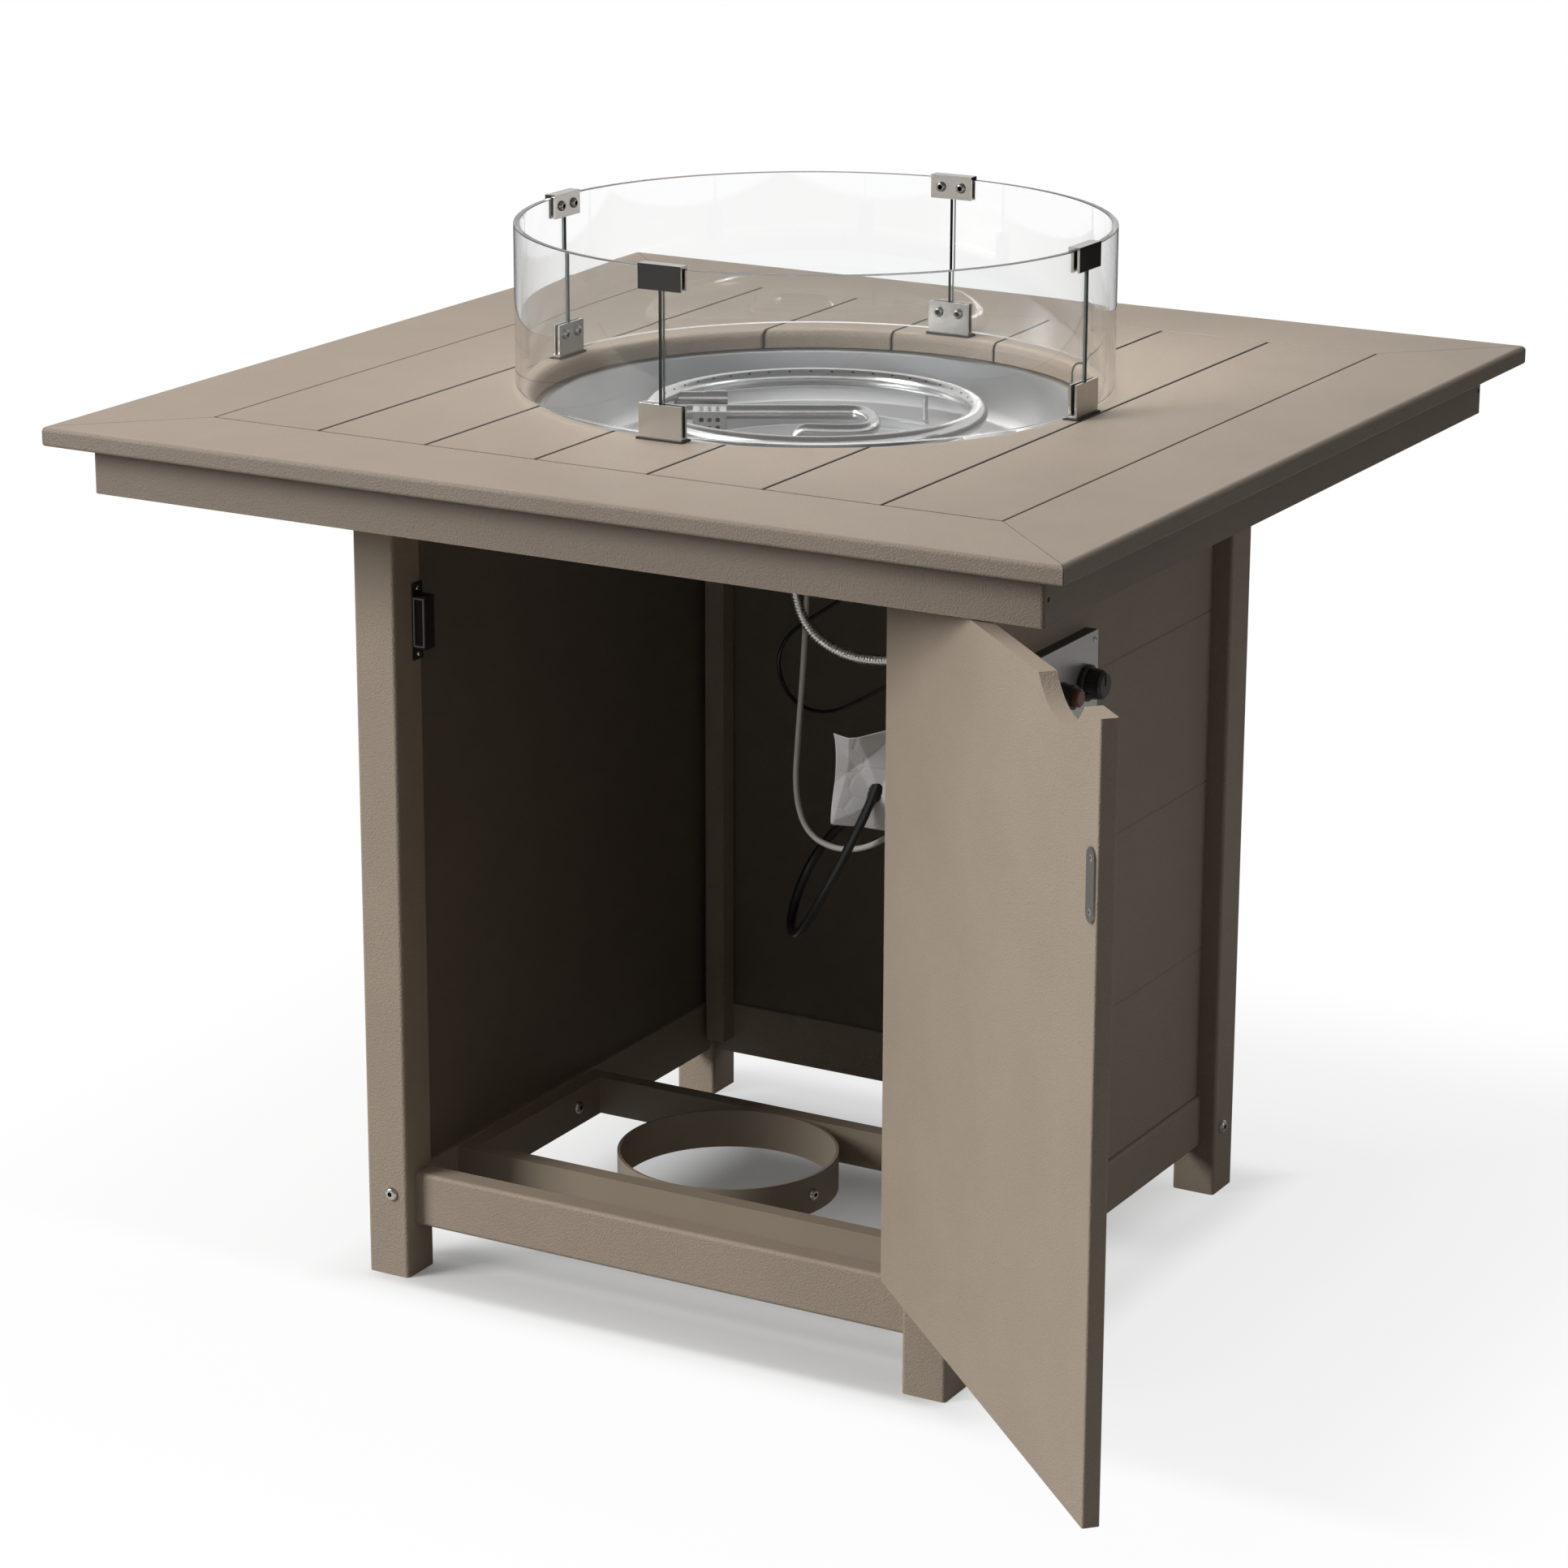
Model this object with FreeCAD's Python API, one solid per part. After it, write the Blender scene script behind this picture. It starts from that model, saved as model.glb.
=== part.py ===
"""A square counter-height fire pit table.

The top is a mitred lumber frame round seven planks, with a round hole for a ring burner in a
shallow pan and a lift-off guard of four curved glass panels. Below it stands a cabinet with
an inset door, a shelf with a ring that holds the foot of a gas cylinder, and a control panel
on its right side, joined to the burner by hoses and leads.

Millimetres. +Z is up, the floor is z = 0, and the Z axis runs through the middle of the top.
The door is on the -Y side and the control panel on the +X side. The door is built closed and
then swung open to the angle at which the table stands at rest.
"""
import FreeCAD, Part
import math
import os

V = FreeCAD.Vector
ORIGIN = V(0, 0, 0)
UP = V(0, 0, 1)

# Top
top_side = 1067.0
top_height = 884.0
top_thick = 19.0
top_edge_round = 5.0
top_lower_round = 3.0
frame_board = 115.0
plank_count = 7
board_gap = 1.6
groove_round = 1.4
hole_radius = 277.0
hole_round = 8.0
batten_wide = 60.0
batten_thick = 20.0
batten_clear = 20.0

# Apron under the top
apron_setback = 33.5
apron_high = 48.0
apron_thick = 16.0
apron_round = 4.0
apron_screw_radius = 2.5
apron_screw_deep = 4.0

# Cabinet frame
base_side = 654.0
leg_side = 47.0
leg_round = 4.0
rail_low = 52.0
rail_high = 56.0
rail_thick = 24.0
rail_setback = 17.0
rail_round = 4.0
head_rail_high = 47.0

# Walls of tongue and groove boards
wall_thick = 16.0
wall_setback = 21.0
first_joint = 271.0
board_pitch = 181.0
least_board = 30.0
tongue_thick = 5.0
tongue_high = 6.0
tongue_clear = 0.3
joint_chamfer = 1.2
cleat_side = 22.0
cleat_foot = 70.0

# Shelf with the cylinder ring
bar_high = 40.0
bar_thick = 18.0
bar_drop = 2.0
ring_outer = 112.5
ring_wall = 3.0
ring_centre = (-45.0, -93.0)
ring_seat = 0.3

# Door
door_thick = 16.0
door_setback = 12.0
door_gap = 3.0
door_foot_gap = 6.0
door_head_gap = 2.0
door_round = 2.0
door_open = 136.0
scoop_wide = 109.0
scoop_deep = 27.5
scoop_from_edge = 91.5

# Hinges
pin_radius = 2.5
pin_fit = 0.05
knuckle_radius = 4.3
knuckle_clear = 0.3
knuckle_gap = 0.4
pin_head_radius = 4.0
pin_head_thick = 2.0
leaf_thick = 1.4
leaf_on_leg = 35.0
leaf_on_door = 14.0
hinge_long = 75.0
hinge_foot_offset = 80.0
hinge_head_offset = 80.0

# Magnetic catch and its strike plate
catch_height = 674.0
catch_wide = 15.5
catch_deep = 16.0
catch_long = 53.0
catch_plate_long = 77.0
catch_plate_thick = 2.0
catch_touch = 0.3
magnet_wide = 7.5
magnet_long = 42.0
magnet_pocket = 3.0
magnet_recess = 1.0
strike_long = 64.0
strike_wide = 18.0
strike_thick = 2.0
strike_from_edge = 11.0
strike_screw_radius = 2.1
strike_screw_spacing = 46.0

# Burner pan
pan_flange_radius = 284.0
pan_rim_radius = 267.0
pan_floor_radius = 208.0
pan_floor_drop = 41.0
bowl_rim_radius = 150.0
bowl_floor_radius = 142.0
bowl_drop = 10.0
pan_sheet = 1.6

# Ring burner, laid out on its own axes, turned from those of the table
burner_turn = 30.0
burner_radius = 160.0
burner_tube_radius = 9.5
burner_rise = 3.0
burner_tube_sides = 12
port_count = 45
port_across = 2.6
port_deep = 2.0
port_lean = 40.0
burner_foot_radius = 4.0
burner_foot_count = 4
feed_radius = 7.5
feed_half_gap = 41.0
feed_reach = 52.0
feed_over_pan = 24.0
feed_inlet = -19.0
feed_bend = 26.0
feed_drop_bend = 20.0
feed_below_pan = 34.0
feed_nut_across = 22.0
feed_nut_high = 16.0
feed_hole_clear = 0.4
seat_clear = 0.2
pilot_radius = 7.0
pilot_bore = 5.0
pilot_line = 73.0
pilot_end = -86.0
pilot_over_pan = 31.0
pilot_bore_deep = 16.0
sleeve_long = 22.0
sleeve_wall = 1.0
cage_u = (-120.0, -87.0)
cage_v = (4.0, 32.0)
cage_high = 42.0
cage_sheet = 1.2
cage_hole_across = 4.4
cage_hole_pitch = 8.0
electrode_radius = 1.5
electrode_high = 32.0

# Control panel, valve, knob and igniter
panel_right = -14.0
panel_wide = 150.0
panel_below_knob = 53.0
panel_high = 100.0
panel_deep = 12.0
panel_wall = 2.0
panel_plate = 1.5
window_margin = 8.0
knob_y = -40.0
igniter_y = -93.0
control_height = 635.0
valve_wide = 34.0
valve_high = 44.0
valve_deep = 42.0
valve_round = 3.0
valve_neck_radius = 9.0
valve_neck_long = 12.0
outlet_rise = 15.0
inlet_drop = 17.0
nipple_long = 12.0
outlet_radius = 8.0
inlet_radius = 7.0
sensor_port_radius = 3.5
sensor_port_shift = 12.0
stem_radius = 4.0
stem_fit = 0.05
stem_hole_clear = 1.2
knob_stand_off = 1.5
knob_radius = 18.0
knob_grip_radius = 15.5
knob_tip_radius = 14.0
knob_skirt = 4.0
knob_long = 20.0
knob_edge_round = 2.5
knob_bore_deep = 12.0
flute_count = 8
flute_radius = 2.2
pointer_wide = 2.0
pointer_high = 0.8
igniter_barrel_radius = 11.0
igniter_inner_long = 50.0
igniter_hole_clear = 0.3
bezel_radius = 13.0
bezel_thick = 2.5
collar_radius = 12.0
collar_long = 12.0
igniter_nut_across = 27.0
igniter_nut_thick = 5.0
button_radius = 9.0
button_fit = 0.1
button_proud = 7.0
button_travel = 4.0
button_long = 21.0
button_round = 1.5

# Glass guard
glass_outer = 293.0
glass_thick = 6.0
glass_high = 157.0
glass_gap = 4.5
clip_wide = 46.0
clip_sheet = 2.5
clip_clear = 0.1
foot_clip_high = 32.0
head_clip_high = 24.0
pad_thick = 2.0
pad_margin = 2.0

# Hoses and leads: the points that each one bends round, from the burner to the panel
flex_radius = 5.5
flex_bore = 3.6
flex_root = 4.7
rib_pitch = 5.5
flex_sides = 8
cord_facet = 24.0
lead_sides = 8
hose_sides = 10
flex_route = [
    (4.0, -45.0, 790.0), (4.0, -45.0, 742.0), (0.0, -44.5, 694.0), (14.0, -43.0, 648.0),
    (56.0, -42.0, 626.0), (104.0, -41.0, 626.0), (148.0, -40.3, 638.0), (188.0, -40.0, 646.5),
    (220.0, -40.0, 650.0), (250.0, -40.0, 650.0),
]
grey_lead_radius = 3.0
grey_lead_route = [
    (-14.0, 24.0, 812.4), (-14.0, 24.0, 752.0), (-21.0, 24.5, 680.0), (-25.0, 25.0, 600.0),
    (-31.0, 25.0, 520.0), (-35.0, 24.0, 456.0), (-20.0, 21.0, 415.0), (18.0, 17.0, 403.0),
    (64.0, 10.0, 416.0), (110.0, -4.0, 454.0), (156.0, -34.0, 516.0), (196.0, -74.0, 578.0),
    (224.0, -93.0, 635.0), (266.0, -93.0, 635.0),
]
black_lead_radius = 2.0
black_lead_route = [
    (62.0, 40.0, 812.4), (62.0, 40.0, 762.0), (46.0, 43.0, 706.0), (12.0, 52.0, 662.0),
    (-36.0, 68.0, 630.0), (-82.0, 86.0, 598.0), (-96.0, 92.0, 560.0), (-66.0, 80.0, 528.0),
    (-14.0, 57.0, 532.0), (36.0, 35.0, 560.0), (84.0, 19.0, 590.0), (134.0, 2.0, 612.0),
    (182.0, -16.0, 628.0), (218.0, -28.0, 635.0), (250.0, -28.0, 635.0),
]
hose_radius = 4.75
hose_route = [
    (250.0, -40.0, 618.0), (212.0, -40.0, 618.0), (158.0, -36.0, 606.0), (106.0, -26.0, 562.0),
    (84.0, -20.0, 488.0), (50.0, -18.0, 418.0), (12.0, -12.0, 352.0), (-26.0, 14.0, 304.0),
    (-60.0, 56.0, 300.0), (-56.0, 86.0, 354.0), (-14.0, 74.0, 408.0), (40.0, 36.0, 446.0),
    (84.0, -9.7, 489.0), (106.0, -15.7, 563.0), (126.0, 14.0, 606.0), (168.0, 52.0, 608.0),
    (200.0, 72.0, 560.0), (207.0, 76.0, 508.0), (207.0, 76.0, 462.0),
]
tie_at = (95.0, -17.85, 525.5)
tie_clear = 0.3
tie_wall = 1.2
tie_high = 4.0

# Blank paper tag on the supply hose
tag_corners = [
    (46.0, -36.0, 550.0), (124.0, -40.0, 556.0), (108.0, 6.0, 446.0), (24.0, 4.0, 440.0),
]
tag_thick = 0.8
tag_slot_clear = 2.5

# Regulator at the end of the supply hose
regulator_barb_radius = 7.0
regulator_barb_long = 14.0
regulator_radius = 29.0
regulator_deep = 24.0
regulator_lip = 3.0
regulator_neck_radius = 10.0
regulator_neck_long = 14.0
handwheel_radius = 20.0
handwheel_long = 30.0
handwheel_lobes = 6
handwheel_lobe_radius = 3.0
handwheel_bore = 11.0
handwheel_bore_deep = 22.0

# Sizes and places that follow from the values above
top_half = top_side / 2
infill_half = top_half - frame_board
underside = top_height - top_thick
apron_half = top_half - apron_setback
base_half = base_side / 2
leg_in = base_half - leg_side
rail_out = base_half - rail_setback
rail_in = rail_out - rail_thick
rail_line = (rail_out + rail_in) / 2
rail_top = rail_low + rail_high
head_rail_low = underside - head_rail_high
wall_out = base_half - wall_setback
wall_in = wall_out - wall_thick
door_front = -base_half + door_setback
door_back = door_front + door_thick
pin_x = leg_in - knuckle_radius - knuckle_clear
pin_y = door_front - knuckle_radius - knuckle_clear
pan_floor = underside - pan_floor_drop
bowl_floor = pan_floor - bowl_drop
burner_height = top_height - top_thick + burner_rise - burner_tube_radius
feed_height = pan_floor + feed_over_pan
feed_end_height = pan_floor - feed_below_pan
pilot_height = pan_floor + pilot_over_pan
cage_top = bowl_floor + cage_high
electrode_top = bowl_floor + electrode_high
bar_top = rail_top - bar_drop
bar_low = bar_top - bar_high
glass_low = top_height + pad_thick + clip_sheet + 0.5
glass_top = glass_low + glass_high
glass_inner = glass_outer - glass_thick
plate_face = wall_out + panel_deep + panel_plate
panel_foot = control_height - panel_below_knob

os.makedirs("parts", exist_ok=True)


def save(name, *solids):
    """Write one node: a single solid, or a group of separate ones."""
    shape = solids[0] if len(solids) == 1 else Part.makeCompound(list(solids))
    shape.exportStep("parts/" + name + ".step")


def block(x, y, z):
    """A box between pairs of limits."""
    return Part.makeBox(x[1] - x[0], y[1] - y[0], z[1] - z[0], V(x[0], y[0], z[0]))


def prism(points, sweep):
    """A flat outline of straight sides, swept along a vector."""
    outline = [V(*point) for point in points]
    return Part.Face(Part.makePolygon(outline + [outline[0]])).extrude(V(*sweep))


def rod(start, direction, radius, length):
    return Part.makeCylinder(radius, length, V(*start), V(*direction))


def turned(profile):
    """A (radius, height) outline of straight sides, turned about the Z axis."""
    outline = [V(radius, 0, height) for radius, height in profile]
    return Part.Face(Part.makePolygon(outline + [outline[0]])).revolve(ORIGIN, UP, 360)


def laid(shape, place, direction):
    """Stand a shape that was made on the Z axis at a place, with its top along a direction."""
    moved = shape.copy()
    moved.Placement = FreeCAD.Placement(V(*place), FreeCAD.Rotation(UP, V(*direction)))
    return moved


def swung(shape, degrees, pivot=ORIGIN):
    moved = shape.copy()
    moved.rotate(pivot, UP, degrees)
    return moved


def hexagon(across, high):
    """A hexagonal prism on the Z axis, measured across its flats."""
    corner = across / math.sqrt(3)
    points = []
    for step in range(6):
        angle = math.radians(60 * step)
        points.append((corner * math.cos(angle), corner * math.sin(angle), 0))
    return prism(points, (0, 0, high))


def rounded(shape, radius, axis, where):
    """Fillet the straight edges that run along an axis and whose middle is where asked."""
    picked = []
    for edge in shape.Edges:
        if len(edge.Vertexes) < 2:
            continue
        along = edge.Vertexes[1].Point - edge.Vertexes[0].Point
        if abs(along[axis]) > 0.999 * along.Length and where(edge.CenterOfMass):
            picked.append(edge)
    return shape.makeFillet(radius, picked)


# Tabletop


def top_frame_board():
    """The front board of the mitred frame."""
    mitre = board_gap / 4 * math.sqrt(2)
    board = prism(
        [
            (-top_half + mitre, -top_half, underside),
            (top_half - mitre, -top_half, underside),
            (infill_half - mitre, -infill_half, underside),
            (-infill_half + mitre, -infill_half, underside),
        ],
        (0, 0, top_thick),
    )
    middle = underside + top_thick / 2
    board = rounded(board, top_edge_round, 0, lambda c: c.y < -top_half + 1 and c.z > middle)
    board = rounded(board, top_lower_round, 0, lambda c: c.y < -top_half + 1 and c.z < middle)
    return rounded(board, groove_round, 0, lambda c: c.y > -infill_half - 1 and c.z > middle)


def burner_hole():
    """What the router takes out of the planks: a round hole with a rounded upper edge."""
    foot = underside - 1
    start = top_height - hole_round
    lip = hole_radius + hole_round
    over = top_height + 1
    lean = hole_round * math.sqrt(0.5)
    edges = [
        Part.makeLine(V(0, 0, foot), V(hole_radius, 0, foot)),
        Part.makeLine(V(hole_radius, 0, foot), V(hole_radius, 0, start)),
        Part.Arc(V(hole_radius, 0, start), V(lip - lean, 0, start + lean), V(lip, 0, top_height)).toShape(),
        Part.makeLine(V(lip, 0, top_height), V(lip, 0, over)),
        Part.makeLine(V(lip, 0, over), V(0, 0, over)),
        Part.makeLine(V(0, 0, over), V(0, 0, foot)),
    ]
    return Part.Face(Part.Wire(edges)).revolve(ORIGIN, UP, 360)


def planks():
    """The infill planks, which run from front to back and are cut by the burner hole."""
    pitch = 2 * infill_half / plank_count
    hole = burner_hole()
    reach = infill_half - board_gap
    for index in range(plank_count):
        left = -infill_half + index * pitch + board_gap / 2
        plank = block((left, left + pitch - board_gap), (-reach, reach), (underside, top_height))
        plank = rounded(plank, groove_round, 1, lambda c: c.z > top_height - 1)
        save("plank_%d" % (index + 1), *plank.cut(hole).Solids)


def top():
    board = top_frame_board()
    for turn, side in enumerate(("front", "right", "back", "left")):
        save("top_board_" + side, swung(board, 90 * turn))
    planks()
    near = base_half + batten_clear
    length = apron_half - apron_thick
    low = underside - batten_thick
    front = block((-length, length), (-near - batten_wide, -near), (low, underside))
    save("plank_battens", front, swung(front, 180))


def apron():
    """Side boards run the whole depth and cover the ends of the front and back boards."""
    height = (underside - apron_high, underside)
    inner = apron_half - apron_thick
    side = block((inner, apron_half), (-apron_half, apron_half), height)
    side = rounded(side, apron_round, 2, lambda c: c.x > apron_half - 1)
    for end in (-1, 1):
        place = (apron_half - apron_screw_deep, end * (apron_half - apron_thick / 2), sum(height) / 2)
        side = side.cut(rod(place, (1, 0, 0), apron_screw_radius, apron_screw_deep + 1))
    front = block((-inner, inner), (-apron_half, -inner), height)
    save("apron_right", side)
    save("apron_left", swung(side, 180))
    save("apron_front", front)
    save("apron_back", swung(front, 180))


# Cabinet frame


def legs():
    for side_x, name_x in ((-1, "left"), (1, "right")):
        for side_y, name_y in ((-1, "front"), (1, "back")):
            x = sorted((side_x * leg_in, side_x * base_half))
            y = sorted((side_y * leg_in, side_y * base_half))
            leg = rounded(block(x, y, (0, underside)), leg_round, 2, lambda c: True)
            save("leg_" + name_y + "_" + name_x, leg)


def rail(low, high):
    """The front rail between two heights, with its outer arrises rounded."""
    bar = block((-leg_in, leg_in), (-rail_out, -rail_in), (low, high))
    return rounded(bar, rail_round, 0, lambda c: c.y < -rail_out + 1)


def rails():
    lower = rail(rail_low, rail_top)
    head = rail(head_rail_low, underside)
    for turn, side in enumerate(("front", "right", "back", "left")):
        save("rail_" + side, swung(lower, 90 * turn))
    save("head_rails", *[swung(head, 90 * turn) for turn in range(4)])


def wall_joints():
    """Heights where the wall boards meet, from the lower rail to the head rail."""
    heights = [rail_top]
    joint = first_joint
    while joint < head_rail_low - least_board:
        heights.append(joint)
        joint += board_pitch
    return heights + [head_rail_low]


def wall():
    """The boards of a wall on the door's side, which each wall is a turned copy of."""
    outer = -wall_out
    inner = -wall_in
    middle = (outer + inner) / 2
    tongue = tongue_thick / 2
    groove = tongue + tongue_clear
    heights = wall_joints()
    boards = []
    for low, high in zip(heights[:-1], heights[1:]):
        points = [(outer, low + joint_chamfer), (outer + joint_chamfer, low)]
        if low > rail_top:
            roof = low + tongue_high + tongue_clear
            points += [(middle - groove, low), (middle - groove, roof)]
            points += [(middle + groove, roof), (middle + groove, low)]
        points += [(inner, low), (inner, high)]
        if high < head_rail_low:
            peak = high + tongue_high
            points += [(middle + tongue, high), (middle + tongue, peak)]
            points += [(middle - tongue, peak), (middle - tongue, high)]
        points += [(outer + joint_chamfer, high), (outer, high - joint_chamfer)]
        boards.append(prism([(-leg_in, y, z) for y, z in points], (2 * leg_in, 0, 0)))
    return boards


def walls():
    boards = wall()
    window = block(
        (wall_in - 1, wall_out + 1),
        (panel_right - panel_wide + window_margin, panel_right - window_margin),
        (panel_foot + window_margin, panel_foot + panel_high - window_margin),
    )
    save("wall_right", *[swung(board, 90).cut(window) for board in boards])
    save("wall_back", *[swung(board, 180) for board in boards])
    save("wall_left", *[swung(board, 270) for board in boards])


def corner_cleats():
    """Upright cleats in the two back corners, which the back wall is screwed to."""
    y = (rail_in - cleat_side, rail_in)
    z = (cleat_foot, underside)
    left = block((-leg_in, -leg_in + cleat_side), y, z)
    right = block((leg_in - cleat_side, leg_in), y, z)
    save("corner_cleats", left, right)


def shelf():
    """A frame of steel bars on the side rails, with a ring that holds a gas cylinder's foot."""
    reach = ring_outer + ring_seat
    front = ring_centre[1] - reach - bar_thick
    back = ring_centre[1] + reach + bar_thick
    side_in = rail_in - bar_thick
    height = (bar_low, bar_top)
    cross = block((-side_in, side_in), (front, front + bar_thick), height)
    save("shelf_cross_bars", cross, block((-side_in, side_in), (back - bar_thick, back), height))
    left = block((-rail_in, -side_in), (front, back), height)
    right = block((side_in, rail_in), (front, back), height)
    save("shelf_side_bars", left, right)
    ring = turned(
        [
            (ring_outer, bar_low),
            (ring_outer, bar_top),
            (ring_outer - ring_wall, bar_top),
            (ring_outer - ring_wall, bar_low),
        ]
    )
    ring.translate(V(ring_centre[0], ring_centre[1], 0))
    save("tank_ring", ring)


def cabinet():
    legs()
    rails()
    walls()
    corner_cleats()
    shelf()


# Door, hinges and catch


def opened(shape):
    """Swing a piece of the closed door to its rest angle."""
    return swung(shape, door_open, V(pin_x, pin_y, 0))


def door_panel():
    """A flat panel with a finger scoop in its upper edge, near the free side."""
    front = door_front
    left = -leg_in + door_gap
    right = leg_in - door_gap
    low = rail_top + door_foot_gap
    high = underside - apron_high - door_head_gap
    centre = left + scoop_from_edge
    half = scoop_wide / 2
    corners = [V(centre - half, front, high), V(left, front, high), V(left, front, low)]
    corners += [V(right, front, low), V(right, front, high), V(centre + half, front, high)]
    edges = [Part.makeLine(a, b) for a, b in zip(corners[:-1], corners[1:])]
    edges.append(Part.Arc(corners[-1], V(centre, front, high - scoop_deep), corners[0]).toShape())
    panel = Part.Face(Part.Wire(edges)).extrude(V(0, door_thick, 0))
    return rounded(panel, door_round, 2, lambda c: True)


def knuckles(low, which):
    """The barrels of one hinge that belong to one leaf, out of three along the pin."""
    share = hinge_long / 3
    barrels = []
    for index in which:
        foot = low + index * share + knuckle_gap / 2
        barrels.append(rod((pin_x, pin_y, foot), (0, 0, 1), knuckle_radius, share - knuckle_gap))
    return barrels


def hinge_leaf(low, x, reach, which):
    """A leaf: a plate from the pin to the wood, with its own barrels and room for the rest."""
    plate = block(x, (pin_y, reach), (low, low + hinge_long))
    leaf = plate.fuse(knuckles(low, which)).removeSplitter()
    others = [index for index in range(3) if index not in which]
    share = hinge_long / 3
    for index in others:
        foot = low + index * share - knuckle_gap / 2
        room = rod((pin_x, pin_y, foot), (0, 0, 1), knuckle_radius + knuckle_clear, share + knuckle_gap)
        leaf = leaf.cut(room)
    bore = rod((pin_x, pin_y, low - 1), (0, 0, 1), pin_radius + pin_fit, hinge_long + 2)
    return leaf.cut(bore)


def hinge_pin(low):
    pin = rod((pin_x, pin_y, low), (0, 0, 1), pin_radius, hinge_long)
    foot = rod((pin_x, pin_y, low - pin_head_thick), (0, 0, 1), pin_head_radius, pin_head_thick)
    head = rod((pin_x, pin_y, low + hinge_long), (0, 0, 1), pin_head_radius, pin_head_thick)
    return pin.fuse([foot, head]).removeSplitter()


def strike_plate():
    """A plate with round ends and two screw holes, on the inner face of the closed door."""
    centre = -leg_in + door_gap + strike_from_edge
    face = door_back
    half = strike_wide / 2
    straight = strike_long / 2 - half
    plate = block((centre - half, centre + half), (face, face + strike_thick),
                  (catch_height - straight, catch_height + straight))
    ends = []
    for side in (-1, 1):
        ends.append(rod((centre, face, catch_height + side * straight), (0, 1, 0), half, strike_thick))
    plate = plate.fuse(ends).removeSplitter()
    for side in (-1, 1):
        place = (centre, face - 1, catch_height + side * strike_screw_spacing / 2)
        plate = plate.cut(rod(place, (0, 1, 0), strike_screw_radius, strike_thick + 2))
    return plate


def magnetic_catch():
    """A box with a magnet behind a slot, on a plate with an ear above and one below."""
    front = door_back + strike_thick + catch_touch
    back = front + catch_deep
    face = -leg_in
    tall = (catch_height - catch_long / 2, catch_height + catch_long / 2)
    plate_tall = (catch_height - catch_plate_long / 2, catch_height + catch_plate_long / 2)
    case = block((face, face + catch_wide), (front, back), tall)
    case = case.fuse(block((face, face + catch_plate_thick), (front, back), plate_tall)).removeSplitter()
    middle = face + catch_wide / 2
    slot_x = (middle - magnet_wide / 2, middle + magnet_wide / 2)
    slot_z = (catch_height - magnet_long / 2, catch_height + magnet_long / 2)
    case = case.cut(block(slot_x, (front - 1, front + magnet_pocket), slot_z))
    magnet = block(slot_x, (front + magnet_recess, front + magnet_pocket), slot_z)
    save("magnetic_catch", case, magnet)


def door():
    save("door_panel", opened(door_panel()))
    save("strike_plate", opened(strike_plate()))
    door_low = rail_top + door_foot_gap
    door_high = underside - apron_high - door_head_gap
    lows = (door_low + hinge_foot_offset, door_high - hinge_head_offset - hinge_long)
    leg_leaf = (leg_in - leaf_thick, leg_in)
    door_leaf = (leg_in - door_gap, leg_in - door_gap + leaf_thick)
    save("hinge_frame_leaves", *[hinge_leaf(low, leg_leaf, leaf_on_leg - base_half, (0, 2)) for low in lows])
    on_door = [hinge_leaf(low, door_leaf, leaf_on_door + door_front, (1,)) for low in lows]
    save("hinge_door_leaves", *[opened(leaf) for leaf in on_door])
    save("hinge_pins", *[hinge_pin(low) for low in lows])
    magnetic_catch()


# Burner


def on_burner(u, v, z):
    """A point given on the burner's own axes, in the table's."""
    angle = math.radians(burner_turn)
    x = u * math.cos(angle) - v * math.sin(angle)
    y = u * math.sin(angle) + v * math.cos(angle)
    return V(x, y, z)


def burner_pan():
    """A round pan of pressed sheet that hangs by its flange under the planks."""
    upper = [
        (pan_flange_radius, underside),
        (pan_rim_radius, underside),
        (pan_floor_radius, pan_floor),
        (bowl_rim_radius, pan_floor),
        (bowl_floor_radius, bowl_floor),
        (0, bowl_floor),
    ]
    lower = [(radius, height - pan_sheet) for radius, height in reversed(upper)]
    pan = turned(upper + lower)
    inlet = on_burner(feed_inlet, -feed_half_gap, bowl_floor - pan_sheet - 1)
    return pan.cut(rod(inlet, (0, 0, 1), feed_radius + feed_hole_clear, pan_sheet + 2))


def burner_torus(clear=0.0):
    """The ring's round, whose tube has a few flat sides; one of them carries the ports."""
    profile = []
    for step in range(burner_tube_sides):
        angle = math.radians(90 + port_lean) + math.pi * (2 * step + 1) / burner_tube_sides
        reach = (burner_tube_radius + clear) / math.cos(math.pi / burner_tube_sides)
        profile.append((burner_radius + reach * math.cos(angle), burner_height + reach * math.sin(angle)))
    return turned(profile)


def burner_ring():
    """A ring of round tube on short feet, with a row of ports on its upper inner side."""
    ring = burner_torus()
    feet = []
    for index in range(burner_foot_count):
        angle = math.radians(burner_turn + 45 + 360 * index / burner_foot_count)
        place = (burner_radius * math.cos(angle), burner_radius * math.sin(angle), pan_floor)
        feet.append(rod(place, (0, 0, 1), burner_foot_radius, burner_height - pan_floor))
    ring = ring.fuse(feet).removeSplitter()
    lean = math.radians(port_lean)
    reach = burner_tube_radius - port_deep
    foot = (burner_radius - reach * math.sin(lean), 0, burner_height + reach * math.cos(lean))
    port = laid(hexagon(port_across, port_deep + 1), foot, (-math.sin(lean), 0, math.cos(lean)))
    return ring.cut([swung(port, 360 * index / port_count) for index in range(port_count)])


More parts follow.
